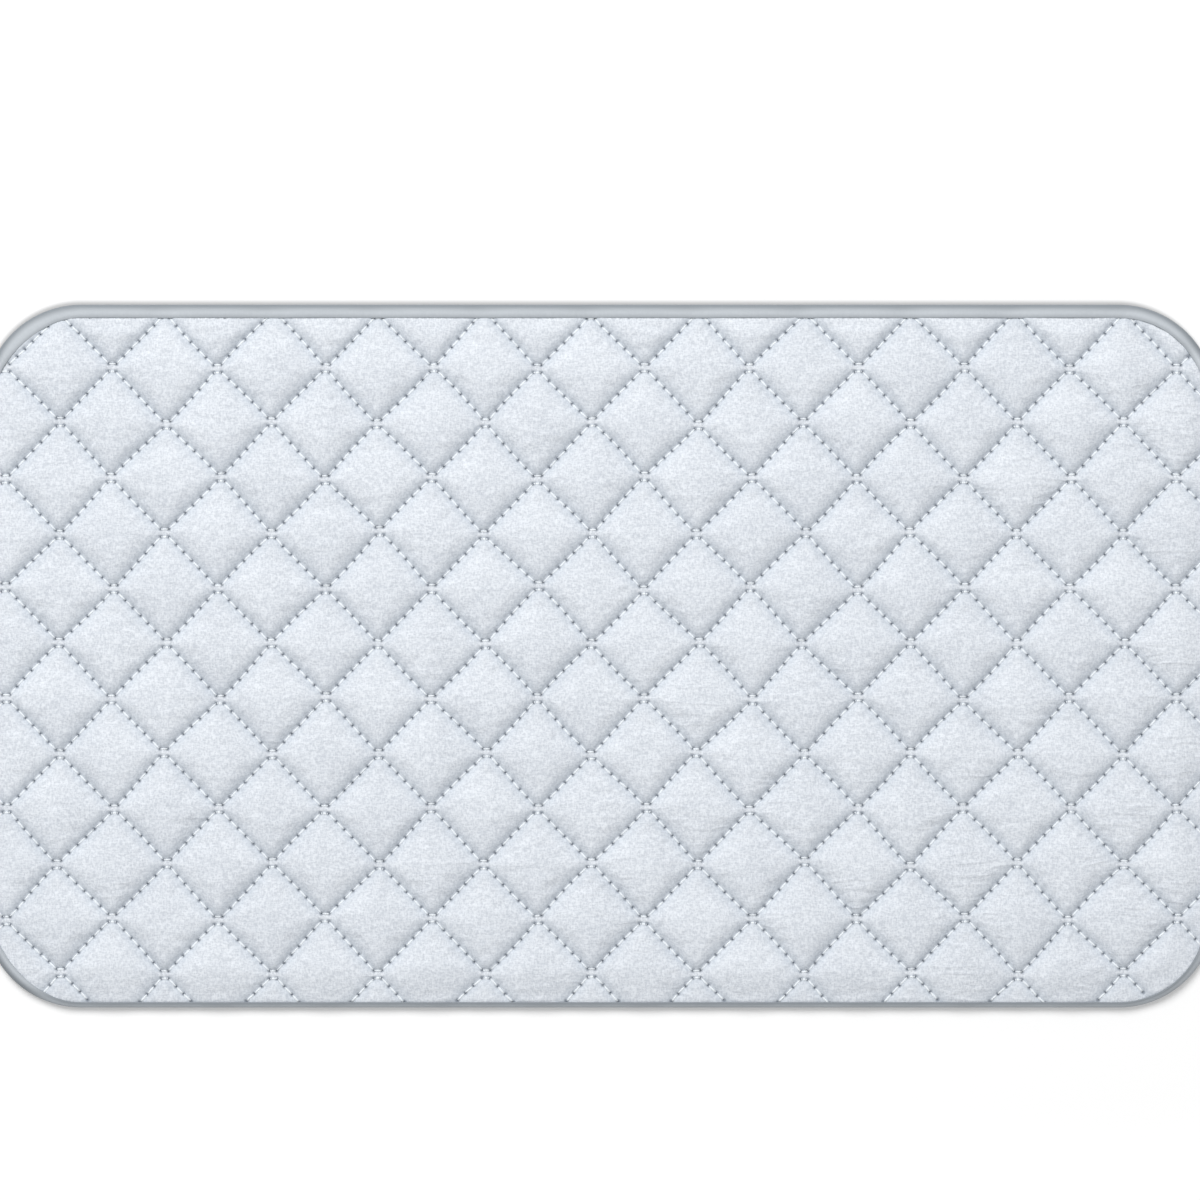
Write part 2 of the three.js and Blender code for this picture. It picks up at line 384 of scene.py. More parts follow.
class LatticeGrid:
    """A grid laid along the quilting lines, with points past an outline pulled back to it.

    Attributes:
        steps: Grid steps to a diamond's side.
        ia, ib: The points' numbers in the two families.
        a, b: Their counts there.
        x, y: Their places.
        near_a, near_b: The distance of each point to the nearest line of each family.
        faces: The corner numbers of the faces, among the used points.
        used: True for points that a face uses.
    """

    speck = (0.05 * MM) ** 2

    def __init__(self, lattice: DiamondLattice, outline: RoundedOutline, steps: int) -> None:
        """Lays the grid.

        Args:
            lattice: The quilting's plan.
            outline: Where the cloth ends.
            steps: Grid steps to a diamond's side.
        """
        self.lattice, self.steps = lattice, steps
        count = 2 * lattice.reach * steps + 1
        index = np.arange(count)
        self.ia, self.ib = np.meshgrid(index, index, indexing="ij")
        self.a, self.b = self.ia / steps - lattice.reach, self.ib / steps - lattice.reach
        flat_x, flat_y = lattice.sewn(*lattice.place(self.a, self.b))
        self.x, self.y = outline.pulled_in(flat_x, flat_y)
        self.near_a = np.abs(self.a - np.round(self.a)) * lattice.spacing
        self.near_b = np.abs(self.b - np.round(self.b)) * lattice.spacing
        inside = (outline.depth(flat_x, flat_y) > 0.0).ravel()
        quads = grid_quads(count, count)[:, ::-1]
        quads = quads[inside[quads].any(axis=1)]
        px, py = self.x.ravel()[quads], self.y.ravel()[quads]
        first_x, first_y = px[:, 0] - px[:, 2], py[:, 0] - py[:, 2]
        second_x, second_y = px[:, 1] - px[:, 3], py[:, 1] - py[:, 3]
        quads = quads[np.abs(first_x * second_y - second_x * first_y) / 2 > self.speck]
        self.used = np.zeros(count * count, dtype=bool)
        self.used[quads.ravel()] = True
        number = np.cumsum(self.used) - 1
        self.faces = number[quads]

    def points(self, z: Array, dx: Array | float = 0.0, dy: Array | float = 0.0) -> Array:
        """The used points, at these heights and moved sideways by dx and dy."""
        whole = np.stack([self.x + dx, self.y + dy, z], axis=-1).reshape(-1, 3)
        return whole[self.used]

    def spread(self, values: Array) -> Array:
        """Lays values of the used points back on the whole grid.

        Args:
            values: Some numbers for each used point.

        Returns:
            The same on the grid, with 0 elsewhere.
        """
        whole = np.zeros((self.used.size, values.shape[1]))
        whole[self.used] = values
        return whole.reshape(*self.x.shape, values.shape[1])

    def stitched(self) -> Array:
        """True for points that a stitch holds down.

        They are the points on a line, apart from the gap where the tips of two rows face each other,
        and the middle of the flat stitch across each tip.

        Returns:
            A mask on the whole grid.
        """
        tip = self.steps // (2 * self.lattice.stitches)
        ra, rb = self.ia % self.steps, self.ib % self.steps
        clear_a = np.minimum(ra, self.steps - ra) >= tip
        clear_b = np.minimum(rb, self.steps - rb) >= tip
        on_leg = ((ra == 0) & clear_b) | ((rb == 0) & clear_a)
        above = (ra + (self.steps - rb) == tip) & (ra > 0) & (ra < tip)
        below = (rb + (self.steps - ra) == tip) & (rb > 0) & (rb < tip)
        return on_leg | above | below

    def finer(self, values: Array) -> Array:
        """Values on this grid carried to a grid with twice the steps, diamond by diamond.

        New points lie on a cubic through the four nearest old ones, taken on the inner side at a
        diamond's edge, so the crease along a stitched line stays sharp.

        Args:
            values: One or more numbers for each point of the grid.

        Returns:
            The same for the finer grid.
        """
        n = self.steps
        between = np.zeros((n, n + 1))
        rows = np.arange(n)
        first = np.clip(rows - 1, 0, n - 3)
        t = rows + 0.5 - first
        for k in range(4):
            others = [m for m in range(4) if m != k]
            weight = np.prod([(t - m) / (k - m) for m in others], axis=0)
            between[rows, first + k] = weight
        carry = np.zeros((2 * n + 1, n + 1))
        carry[::2] = np.eye(n + 1)
        carry[1::2] = between
        cells = 2 * self.lattice.reach
        pick = np.arange(cells)[:, None] * n + np.arange(n + 1)
        blocks = values[pick[:, None, :, None], pick[None, :, None, :]]
        fine = np.einsum("pr,qs,ijrsc->ijpqc", carry, carry, blocks, optimize=True)
        put = np.arange(cells)[:, None] * 2 * n + np.arange(2 * n + 1)
        whole = np.zeros((cells * 2 * n + 1, cells * 2 * n + 1, values.shape[2]))
        whole[put[:, None, :, None], put[None, :, None, :]] = fine
        return whole

    def wrinkles(self, kind: Wrinkles) -> Array:
        """A field of long soft wrinkles with mean 0.

        Seeded noise is filtered by its wave counts kx and ky: exp(-(kx along)^2 - (ky across)^2)
        keeps waves longer than these two lengths, and 1 - exp(-(k widest)^2) drops broad swells. The
        field's spread is then brought to the wrinkles' height.

        Args:
            kind: The wrinkles' sizes and seed.

        Returns:
            One height for each point of the grid.
        """
        noise = np.random.default_rng(kind.seed).normal(size=self.x.shape)
        count = np.fft.fftfreq(self.x.shape[0])
        fa, fb = np.meshgrid(count, count, indexing="ij")
        kx = (fa + fb) * self.steps / self.lattice.length
        ky = (fa - fb) * self.steps / self.lattice.width
        long_waves = np.exp(-((kx * kind.along) ** 2) - (ky * kind.across) ** 2)
        keep = long_waves * (1 - np.exp(-(kx**2 + ky**2) * kind.widest**2))
        heights = np.real(np.fft.ifft2(np.fft.fft2(noise) * keep))
        return heights / heights.std() * kind.height


class NodeSketch:
    """Adds nodes to a shader tree and joins them, so that a finish reads as a list of steps."""

    def __init__(self, tree: Tree) -> None:
        """Keeps the tree that nodes go into."""
        self.tree = tree

    def add(self, kind: str, **settings: object) -> Node:
        """Adds a node.

        Args:
            kind: The node's type.
            settings: Some of its settings, by name.

        Returns:
            The node.
        """
        node = self.tree.nodes.new(kind)
        for name, value in settings.items():
            setattr(node, name, value)
        return node

    def feed(self, target: Socket, value: object) -> None:
        """Joins a socket to a target socket, or sets the target to a plain value.

        Args:
            target: An input socket.
            value: An output socket, or a value that the target takes.
        """
        if isinstance(value, Socket):
            self.tree.links.new(value, target)
        else:
            target.default_value = value

    def math(self, operation: str, *values: object) -> Socket:
        """Puts sockets or numbers through a Math node.

        Args:
            operation: The node's operation.
            values: Its inputs, in order.

        Returns:
            The result.
        """
        node = self.add("ShaderNodeMath", operation=operation)
        for target, value in zip(node.inputs, values):
            self.feed(target, value)
        return node.outputs[0]

    def times(self, first: object, second: object) -> Socket:
        """The product of two sockets or numbers."""
        return self.math("MULTIPLY", first, second)

    def less(self, first: object, second: object) -> Socket:
        """The first socket or number less the second."""
        return self.math("SUBTRACT", first, second)

    def size(self, value: Socket) -> Socket:
        """A value without its sign."""
        return self.math("ABSOLUTE", value)

    def weighted(self, *terms: tuple[Socket, float]) -> Socket:
        """Adds up sockets, each times its weight.

        Args:
            terms: The sockets and their weights.

        Returns:
            The sum.
        """
        total = self.times(*terms[0])
        for socket, weight in terms[1:]:
            total = self.math("ADD", total, self.times(socket, weight))
        return total

    def far(self, first: Socket, second: Socket) -> Socket:
        """The length of a step with these two parts at right angles."""
        squares = [self.times(part, part) for part in (first, second)]
        return self.math("SQRT", self.math("ADD", *squares))

    def split(self, vector: Socket) -> tuple[Socket, Socket]:
        """Takes a vector apart.

        Args:
            vector: The vector's socket.

        Returns:
            Its first two parts.
        """
        node = self.add("ShaderNodeSeparateXYZ")
        self.feed(node.inputs[0], vector)
        return node.outputs[0], node.outputs[1]

    def vector(self, operation: str, first: Socket, second: tuple[float, float, float]) -> Socket:
        """Puts a vector through a Vector Math node.

        Args:
            operation: The node's operation.
            first: The vector's socket.
            second: The operation's second vector.

        Returns:
            The new vector.
        """
        node = self.add("ShaderNodeVectorMath", operation=operation)
        self.feed(node.inputs[0], first)
        node.inputs[1].default_value = second
        return node.outputs[0]

    def ramp(self, value: Socket, span: Span, to: Span = (0.0, 1.0)) -> Socket:
        """Carries a value from one span to another by a smooth step.

        Args:
            value: The value's socket.
            span: Where the step begins and ends.
            to: What it begins and ends at.

        Returns:
            The new value.
        """
        node = self.add("ShaderNodeMapRange", interpolation_type="SMOOTHSTEP")
        for name, number in zip(("From Min", "From Max", "To Min", "To Max"), (*span, *to)):
            node.inputs[name].default_value = number
        self.feed(node.inputs["Value"], value)
        return node.outputs["Result"]

    def blend(self, share: object, first: object, second: object) -> Socket:
        """Mixes two colours.

        Args:
            share: How much of the second there is.
            first: A colour or its socket.
            second: Another.

        Returns:
            The mix.
        """
        node = self.add("ShaderNodeMix", data_type="RGBA")
        for place, value in ((0, share), (6, first), (7, second)):
            self.feed(node.inputs[place], value)
        return node.outputs[2]

    def noise(self, vector: Socket, scale: float, detail: float, roughness: float = 0.5) -> Socket:
        """Reads a Noise texture.

        Args:
            vector: Where it is read.
            scale: How fine it is.
            detail: How many finer layers it has.
            roughness: How strong those are.

        Returns:
            The texture's value.
        """
        node = self.add("ShaderNodeTexNoise")
        self.feed(node.inputs["Vector"], vector)
        for name, number in (("Scale", scale), ("Detail", detail), ("Roughness", roughness)):
            node.inputs[name].default_value = number
        return node.outputs["Fac"]

    def group(self, tree: Tree, **values: object) -> Node:
        """Places a node group.

        Args:
            tree: The group.
            values: What its inputs get, by name.

        Returns:
            The group's node.
        """
        node = self.add("ShaderNodeGroup", node_tree=tree)
        for name, value in values.items():
            self.feed(node.inputs[name], value)
        return node

    def bump(self, shader: Node, height: Socket, depth: float, strength: float = 1.0) -> None:
        """Lets a height tilt a shader's surface.

        Args:
            shader: The shader.
            height: The height, from 0 to about 1.
            depth: How much a height of 1 stands for.
            strength: How much of the tilt shows.
        """
        node = self.add("ShaderNodeBump")
        node.inputs["Strength"].default_value = strength
        node.inputs["Distance"].default_value = depth
        self.feed(node.inputs["Height"], height)
        self.feed(shader.inputs["Normal"], node.outputs["Normal"])


@dataclass(frozen=True)
class ClothEffects:
    """The node groups that the pad's finishes share."""

    weave: Tree
    mottle: Tree
    crumple: Tree
    marks: Tree

    @classmethod
    def make(cls, lattice: DiamondLattice) -> "ClothEffects":
        """Builds the groups once, for a quilting plan."""
        return cls(cls.make_weave(), cls.make_mottle(), cls.make_crumple(), cls.make_marks(lattice))

    @staticmethod
    def start(name: str, outputs: list[str], values: tuple[str, ...] = ()) -> tuple[NodeSketch, Node, Node]:
        """Opens a new node group that takes a vector.

        Args:
            name: The group's name.
            outputs: The names of the values that it puts out.
            values: The names of other values that it takes.

        Returns:
            A sketch on the group, its input node and its output node.
        """
        tree = bpy.data.node_groups.new(name, "ShaderNodeTree")
        tree.interface.new_socket("Vector", in_out="INPUT", socket_type="NodeSocketVector")
        for label in values:
            tree.interface.new_socket(label, in_out="INPUT", socket_type="NodeSocketFloat")
        for label in outputs:
            tree.interface.new_socket(label, in_out="OUTPUT", socket_type="NodeSocketFloat")
        sketch = NodeSketch(tree)
        return sketch, sketch.add("NodeGroupInput"), sketch.add("NodeGroupOutput")

    @classmethod
    def make_weave(cls) -> Tree:
        """Builds a plain weave.

        Threads stand up as |sin(warp x)| and |sin(weft y)|. Where the product of the two sines is above 0
        the first of them is on top, and below 0 the second.

        Returns:
            The group.
        """
        changeover = (-0.15, 0.15)
        sketch, given, result = cls.start("plain_weave", ["Height"], ("Warp", "Weft"))
        along, across = sketch.split(given.outputs["Vector"])
        warp = sketch.math("SINE", sketch.times(along, given.outputs["Warp"]))
        weft = sketch.math("SINE", sketch.times(across, given.outputs["Weft"]))
        over = sketch.ramp(sketch.times(warp, weft), changeover)
        high = sketch.times(sketch.size(warp), over)
        low = sketch.times(sketch.size(weft), sketch.less(1.0, over))
        sketch.feed(result.inputs["Height"], sketch.math("ADD", high, low))
        return sketch.tree

    @classmethod
    def make_mottle(cls) -> Tree:
        """Builds an uneven tone: broad clouds, and flecks that are drawn out along the threads both ways.

        Returns:
            The group.
        """
        cloud_scale, cloud_span = 30.0, (0.3, 0.7)
        fleck_scale, fleck_span, drawn_out = 900.0, (0.34, 0.66), 0.4
        sketch, given, result = cls.start("cloth_mottle", ["Cloud", "Fleck"])
        spot = given.outputs["Vector"]
        cloud = sketch.noise(spot, cloud_scale, detail=3.0)
        slubs = []
        for stretch in ((1.0, drawn_out, 1.0), (drawn_out, 1.0, 1.0)):
            drawn = sketch.vector("MULTIPLY", spot, stretch)
            slubs.append(sketch.noise(drawn, fleck_scale, detail=2.0, roughness=0.6))
        fleck = sketch.times(sketch.math("ADD", *slubs), 0.5)
        sketch.feed(result.inputs["Cloud"], sketch.ramp(cloud, cloud_span))
        sketch.feed(result.inputs["Fleck"], sketch.ramp(fleck, fleck_span))
        return sketch.tree

    @classmethod
    def make_crumple(cls) -> Tree:
        """Builds fine wrinkles: thin ridges where a noise drawn out along the pad crosses its middle value.

        They come in patches, and stand higher towards the pad's near right corner.

        Returns:
            The group.
        """
        ridge_scale, ridge_width, drawn_out = 110.0, 0.13, 0.22
        patch_scale, patch_span = 22.0, (0.42, 0.66)
        slant, slant_span, least = 1.5, (-0.4, 0.5), 0.4
        sketch, given, result = cls.start("cloth_crumple", ["Height"])
        spot = given.outputs["Vector"]
        drawn = sketch.vector("MULTIPLY", spot, (drawn_out, 1.0, 1.0))
        wave = sketch.size(sketch.less(sketch.noise(drawn, ridge_scale, detail=1.5), 0.5))
        ridge = sketch.ramp(wave, (0.0, ridge_width), (1.0, 0.0))
        patch = sketch.ramp(sketch.noise(spot, patch_scale, detail=1.0), patch_span)
        along, across = sketch.split(spot)
        aslant = sketch.less(along, sketch.times(across, slant))
        where = sketch.times(patch, sketch.ramp(aslant, slant_span, (least, 1.0)))
        sketch.feed(result.inputs["Height"], sketch.times(ridge, where))
        return sketch.tree

    @classmethod
    def make_marks(cls, lattice: DiamondLattice) -> Tree:
        """Builds the masks of the quilting's needle holes and of the painted shade along its stitched lines,
        from a point's counts in both families.

        A hole lies where the distance to a line and the distance along it to the nearest odd
        fourteenth of a side are both small. The crease is the distance to the nearest stitch: a leg
        stops half a stitch short of each crossing, and flat stitches lie above and below the crossing.
        The channel between those two stands up, so the crease and the wider valley, both masks of painted
        shade, fade out in it.
        The sewing's wander is taken off first.

        Args:
            lattice: The quilting's plan.

        Returns:
            The group.
        """
        hole_span, crease_span, valley_span = (0.5 * MM, 2.2 * MM), (0.5 * MM, 2.8 * MM), (0.0, 9.0 * MM)
        channel_side, channel_end = (0.8 * MM, 2.4 * MM), (3.0 * MM, 9.0 * MM)
        fading = (1.0, 0.0)
        sketch, given, result = cls.start("needle_marks", ["Hole", "Crease", "Valley"])
        plan_x, plan_y = sketch.split(given.outputs["Vector"])
        along, across, circle = plan_x, plan_y, 2 * np.pi
        for wave in lattice.waves:
            turn = sketch.math("MULTIPLY_ADD", plan_x, circle * wave.along, circle * wave.turns)
            turn = sketch.math("MULTIPLY_ADD", plan_y, circle * wave.across, turn)
            swing = sketch.math("SINE", turn)
            along = sketch.less(along, sketch.times(swing, wave.move[0]))
            across = sketch.less(across, sketch.times(swing, wave.move[1]))
        run = sketch.math("DIVIDE", sketch.less(along, lattice.crossing[0]), lattice.length)
        rise = sketch.math("DIVIDE", sketch.less(across, lattice.crossing[1]), lattice.width)
        counts = sketch.math("ADD", run, rise), sketch.less(run, rise)
        pitch = lattice.side / lattice.stitches
        stitches, holes = [], []
        for own, other in (counts, counts[::-1]):
            off_line = sketch.times(sketch.math("PINGPONG", own, 0.5), lattice.spacing)
            off_middle = sketch.math("PINGPONG", sketch.times(other, float(lattice.stitches)), 0.5)
            off_hole = sketch.times(sketch.less(0.5, off_middle), pitch)
            to_crossing = sketch.times(sketch.math("PINGPONG", other, 0.5), lattice.side)
            past_leg = sketch.math("MAXIMUM", sketch.less(pitch / 2, to_crossing), 0.0)
            holes.append(sketch.far(off_line, off_hole))
            stitches.append(sketch.far(off_line, past_leg))
        from_crossing = [sketch.math("WRAP", count, 0.5, -0.5) for count in counts]
        beside = sketch.size(sketch.times(sketch.math("ADD", *from_crossing), lattice.length / 2))
        above = sketch.size(sketch.times(sketch.less(*from_crossing), lattice.width / 2))
        half_flat, flat_rise = lattice.length / (4 * lattice.stitches), lattice.width / (4 * lattice.stitches)
        past_flat = sketch.math("MAXIMUM", sketch.less(beside, half_flat), 0.0)
        flat = sketch.far(sketch.less(above, flat_rise), past_flat)
        stitch = sketch.math("MINIMUM", sketch.math("MINIMUM", *stitches), flat)
        lowered = sketch.math("MAXIMUM", sketch.ramp(above, channel_side), sketch.ramp(beside, channel_end))
        sketch.feed(result.inputs["Hole"], sketch.ramp(sketch.math("MINIMUM", *holes), hole_span, fading))
        for name, span in (("Crease", crease_span), ("Valley", valley_span)):
            sketch.feed(result.inputs[name], sketch.times(sketch.ramp(stitch, span, fading), lowered))
        return sketch.tree


def open_material(name: str) -> tuple[NodeSketch, Node]:
    """Makes a material with one Principled shader.

    Args:
        name: The material's name.

    Returns:
        A sketch on its nodes, and the shader.
    """
    material = bpy.data.materials.new(name)
    material.use_nodes = True
    sketch = NodeSketch(material.node_tree)
    return sketch, material.node_tree.nodes["Principled BSDF"]


@dataclass(frozen=True)
class QuiltedClothFinish:
    """A woven cloth with its needle holes, and painted shade in the holes and along the stitched lines."""

    name: str
    pale: Colour
    deep: Colour
    stitch_shade_colour: Colour
    hole: Colour
    threads_per_metre: float
    weave_depth: float
    roughness: Span
    sheen: float
    shine: float
    shade_offset: Span = (0.0, 0.0)
    weft_share: float = 0.9
    cloud_share: float = 0.15
    valley_shade: float = 0.34
    crease_shade: float = 0.06
    hole_shade: float = 0.72
    weave_rise: float = 0.6
    fleck_rise: float = 1.0
    crumple_rise: float = 4.0
    hole_fall: float = 3.0
    bump_strength: float = 0.8
    sheen_roughness: float = 0.4

    def material(self, effects: ClothEffects) -> Material:
        """Builds the cloth's material on Object coordinates, with painted shade along its stitched lines,
        moved a little off them towards the shaded side.

        Args:
            effects: The shared node groups.

        Returns:
            The material.
        """
        sketch, shader = open_material(self.name)
        spot = sketch.add("ShaderNodeTexCoord").outputs["Object"]
        turn = float(np.pi) * self.threads_per_metre
        weave = sketch.group(effects.weave, Vector=spot, Warp=turn, Weft=turn * self.weft_share)
        mottle = sketch.group(effects.mottle, Vector=spot)
        crumple = sketch.group(effects.crumple, Vector=spot)
        marks = sketch.group(effects.marks, Vector=spot)
        # The painted shade of the valleys and creases is read a little off the lines, towards the shaded
        # side.
        creases = sketch.group(effects.marks, Vector=sketch.vector("SUBTRACT", spot, (*self.shade_offset, 0.0)))
        cloud, fleck = mottle.outputs["Cloud"], mottle.outputs["Fleck"]
        tone = sketch.weighted((cloud, self.cloud_share), (fleck, 1 - self.cloud_share))
        colour = sketch.blend(tone, self.deep, self.pale)
        # Painted shade: the valleys and creases beside the stitches and the needle holes are darkened towards
        # their shade colours, where real shade would fall.
        for mark, shade, tint in (
            (creases.outputs["Valley"], self.valley_shade, self.stitch_shade_colour),
            (creases.outputs["Crease"], self.crease_shade, self.stitch_shade_colour),
            (marks.outputs["Hole"], self.hole_shade, self.hole),
        ):
            colour = sketch.blend(sketch.times(mark, shade), colour, tint)
        sketch.feed(shader.inputs["Base Color"], colour)
        sketch.feed(shader.inputs["Roughness"], sketch.ramp(fleck, (0.0, 1.0), self.roughness))
        height = sketch.weighted(
            (weave.outputs["Height"], self.weave_rise),
            (fleck, self.fleck_rise),
            (crumple.outputs["Height"], self.crumple_rise),
            (marks.outputs["Hole"], -self.hole_fall),
        )
        sketch.bump(shader, height, self.weave_depth, self.bump_strength)
        shader.inputs["Sheen Weight"].default_value = self.sheen
        shader.inputs["Sheen Roughness"].default_value = self.sheen_roughness
        shader.inputs["Specular IOR Level"].default_value = self.shine
        return bpy.data.materials[self.name]


@dataclass(frozen=True)
class TapeFinish:
    """A satin tape, read on a map that runs along and across it in metres, with painted shade along its fold,
    beside its hem and on its shaded side.
    """

    name: str = "satin_tape"
    pale: Colour = (0.59, 0.63, 0.67, 1.0)
    deep: Colour = (0.53, 0.57, 0.61, 1.0)
    fold: Colour = (0.255, 0.282, 0.31, 1.0)
    ribs_per_metre: float = 1500.0
    weft_share: float = 1.6
    cloud_share: float = 0.5
    weave_depth: float = 0.05 * MM
    bump_strength: float = 0.6
    roughness: Span = (0.42, 0.54)
    shine: float = 0.35

    def material(self, effects: ClothEffects) -> Material:
        """Builds the tape's material.

        Args:
            effects: The shared node groups.

        Returns:
            The material.
        """
        sketch, shader = open_material(self.name)
        spot = sketch.add("ShaderNodeUVMap", uv_map=RUN_MAP).outputs["UV"]
        turn = float(np.pi) * self.ribs_per_metre
        weave = sketch.group(effects.weave, Vector=spot, Warp=turn, Weft=turn * self.weft_share)
        mottle = sketch.group(effects.mottle, Vector=spot)
        cloud, fleck = mottle.outputs["Cloud"], mottle.outputs["Fleck"]
        tone = sketch.weighted((cloud, self.cloud_share), (fleck, 1 - self.cloud_share))
        # Painted shade: the tape darkens towards the fold colour as the shade attribute rises.
        folded = sketch.add("ShaderNodeAttribute", attribute_name=FOLD_SHADE).outputs["Fac"]
        colour = sketch.blend(folded, sketch.blend(tone, self.deep, self.pale), self.fold)
        sketch.feed(shader.inputs["Base Color"], colour)
        sketch.feed(shader.inputs["Roughness"], sketch.ramp(fleck, (0.0, 1.0), self.roughness))
        sketch.bump(shader, weave.outputs["Height"], self.weave_depth, self.bump_strength)
        shader.inputs["Specular IOR Level"].default_value = self.shine
        return bpy.data.materials[self.name]


@dataclass(frozen=True)
class ThreadFinish:
    """A twisted sewing thread, read on a map that runs along it and round it."""

    name: str = "twisted_thread"
    pale: Colour = (0.92, 0.965, 1.0, 1.0)
    groove: Colour = (0.75, 0.80, 0.86, 1.0)
    thread_end_shade: Colour = (0.12, 0.14, 0.18, 1.0)
    twist: float = 1.3 * MM
    plies: float = 2.0
    groove_width: float = 0.5
    ply_depth: float = 0.1 * MM
    bump_strength: float = 0.7
    roughness: Span = (0.5, 0.65)
    sheen: float = 0.15
    shine: float = 0.35

    def material(self, effects: ClothEffects) -> Material:
        """Builds the thread's material: plies wind round as |sin(pi (along / twist + plies round))|.

        Args:
            effects: The shared node groups.

        Returns:
            The material.
        """
        sketch, shader = open_material(self.name)
        spot = sketch.add("ShaderNodeUVMap", uv_map=RUN_MAP).outputs["UV"]
        along, round_it = sketch.split(spot)
        wound = sketch.math("DIVIDE", along, self.twist)
        turns = sketch.math("ADD", wound, sketch.times(round_it, self.plies))
        ply = sketch.size(sketch.math("SINE", sketch.times(turns, float(np.pi))))
        fleck = sketch.group(effects.mottle, Vector=spot).outputs["Fleck"]
        # Painted shade in the grooves between the plies.
        colour = sketch.blend(sketch.ramp(ply, (0.0, self.groove_width)), self.groove, self.pale)
        # Painted shade: the thread's ends darken where they dive into the needle holes.
        hole_end_shade = sketch.add("ShaderNodeAttribute", attribute_name=HOLE_END_SHADE).outputs["Fac"]
        sketch.feed(shader.inputs["Base Color"], sketch.blend(hole_end_shade, colour, self.thread_end_shade))
        sketch.feed(shader.inputs["Roughness"], sketch.ramp(fleck, (0.0, 1.0), self.roughness))
        sketch.bump(shader, ply, self.ply_depth, self.bump_strength)
        shader.inputs["Sheen Weight"].default_value = self.sheen
        shader.inputs["Specular IOR Level"].default_value = self.shine
        return bpy.data.materials[self.name]


@dataclass(frozen=True)
class WaddingFinish:
    """Loose white fibre."""

    name: str = "fibre_wadding"
    pale: Colour = (0.84, 0.84, 0.82, 1.0)
    deep: Colour = (0.70, 0.70, 0.68, 1.0)
    roughness: Span = (0.85, 0.95)
    fibre_depth: float = 0.3 * MM

    def material(self, effects: ClothEffects) -> Material:
        """Builds the wadding's material on Object coordinates.

        Args:
            effects: The shared node groups.

        Returns:
            The material.
        """
        sketch, shader = open_material(self.name)
        spot = sketch.add("ShaderNodeTexCoord").outputs["Object"]
        mottle = sketch.group(effects.mottle, Vector=spot)
        cloud, fleck = mottle.outputs["Cloud"], mottle.outputs["Fleck"]
        sketch.feed(shader.inputs["Base Color"], sketch.blend(fleck, self.deep, self.pale))
        sketch.feed(shader.inputs["Roughness"], sketch.ramp(cloud, (0.0, 1.0), self.roughness))
        sketch.bump(shader, fleck, self.fibre_depth)
        return bpy.data.materials[self.name]


# The third and fourth colours of each cloth below are painted shade: along the stitched lines and in the
# needle holes.
FACE_CLOTH = QuiltedClothFinish(
    name="silvery_cover_cloth",
    pale=(0.875, 0.915, 0.965, 1.0),
    deep=(0.595, 0.635, 0.695, 1.0),
    stitch_shade_colour=(0.50, 0.57, 0.65, 1.0),
    hole=(0.16, 0.19, 0.24, 1.0),
    threads_per_metre=1500.0,
    weave_depth=0.09 * MM,
    roughness=(0.52, 0.66),
    sheen=0.1,
    shine=0.3,
    shade_offset=(-0.45 * MM, 0.55 * MM),
)
BACK_CLOTH = QuiltedClothFinish(
    name="plain_backing_cloth",
    pale=(0.64, 0.66, 0.69, 1.0),
    deep=(0.56, 0.58, 0.61, 1.0),
    stitch_shade_colour=(0.50, 0.52, 0.56, 1.0),
    hole=(0.16, 0.17, 0.19, 1.0),
    threads_per_metre=1100.0,
    weave_depth=0.13 * MM,
    roughness=(0.72, 0.84),
    sheen=0.05,
    shine=0.2,
)


@dataclass(frozen=True)
class SwellingCloth:
    """Blender's cloth, blown up under a sheet that is held along its stitches."""

    pressure: float = 4.0
    frames: int = 20
    mass: float = 0.05
    stretch: float = 20.0
    shear: float = 20.0 / 3
    bend: float = 0.3
    growth: float = 0.005
    quality: int = 5
    cap: float = 2.5 * MM

    def settle(self, points: Array, faces: Array, held: Array) -> Array:
        """Runs the simulation and takes its cloth away again.

        Args:
            points: The sheet's points.
            faces: Its faces.
            held: True for points that may not move.

        Returns:
            How far each point moved, at most the cap.
        """
        sheet = new_piece("swelling_sheet", points, faces.tolist())
        group = sheet.vertex_groups.new(name="held")
        group.add(np.flatnonzero(held).tolist(), 1.0, "REPLACE")
        cloth = sheet.modifiers.new("swell", "CLOTH")
        cloth.settings.quality = self.quality
        cloth.settings.mass = self.mass
        cloth.settings.tension_stiffness = self.stretch
        cloth.settings.compression_stiffness = self.stretch
        cloth.settings.shear_stiffness = self.shear
        cloth.settings.bending_stiffness = self.bend
        cloth.settings.use_pressure = True
        cloth.settings.uniform_pressure_force = self.pressure
        cloth.settings.shrink_min = -self.growth
        cloth.settings.vertex_group_mass = group.name
        cloth.settings.effector_weights.gravity = 0.0
        cloth.collision_settings.use_collision = False
        scene = bpy.context.scene
        for step in range(1, self.frames + 1):
            scene.frame_set(step)
        seen = sheet.evaluated_get(bpy.context.evaluated_depsgraph_get())
        places = np.empty(len(points) * 3)
        seen.data.vertices.foreach_get("co", places)
        scene.frame_set(1)
        mesh = sheet.data
        bpy.data.objects.remove(sheet)
        bpy.data.meshes.remove(mesh)
        moved = places.reshape(-1, 3) - points
        far = np.linalg.norm(moved, axis=1, keepdims=True)
        LOG.info("swelling moved the cloth by up to %.2f mm", far.max() / MM)
        return moved * np.minimum(1.0, self.cap / np.maximum(far, TINY))


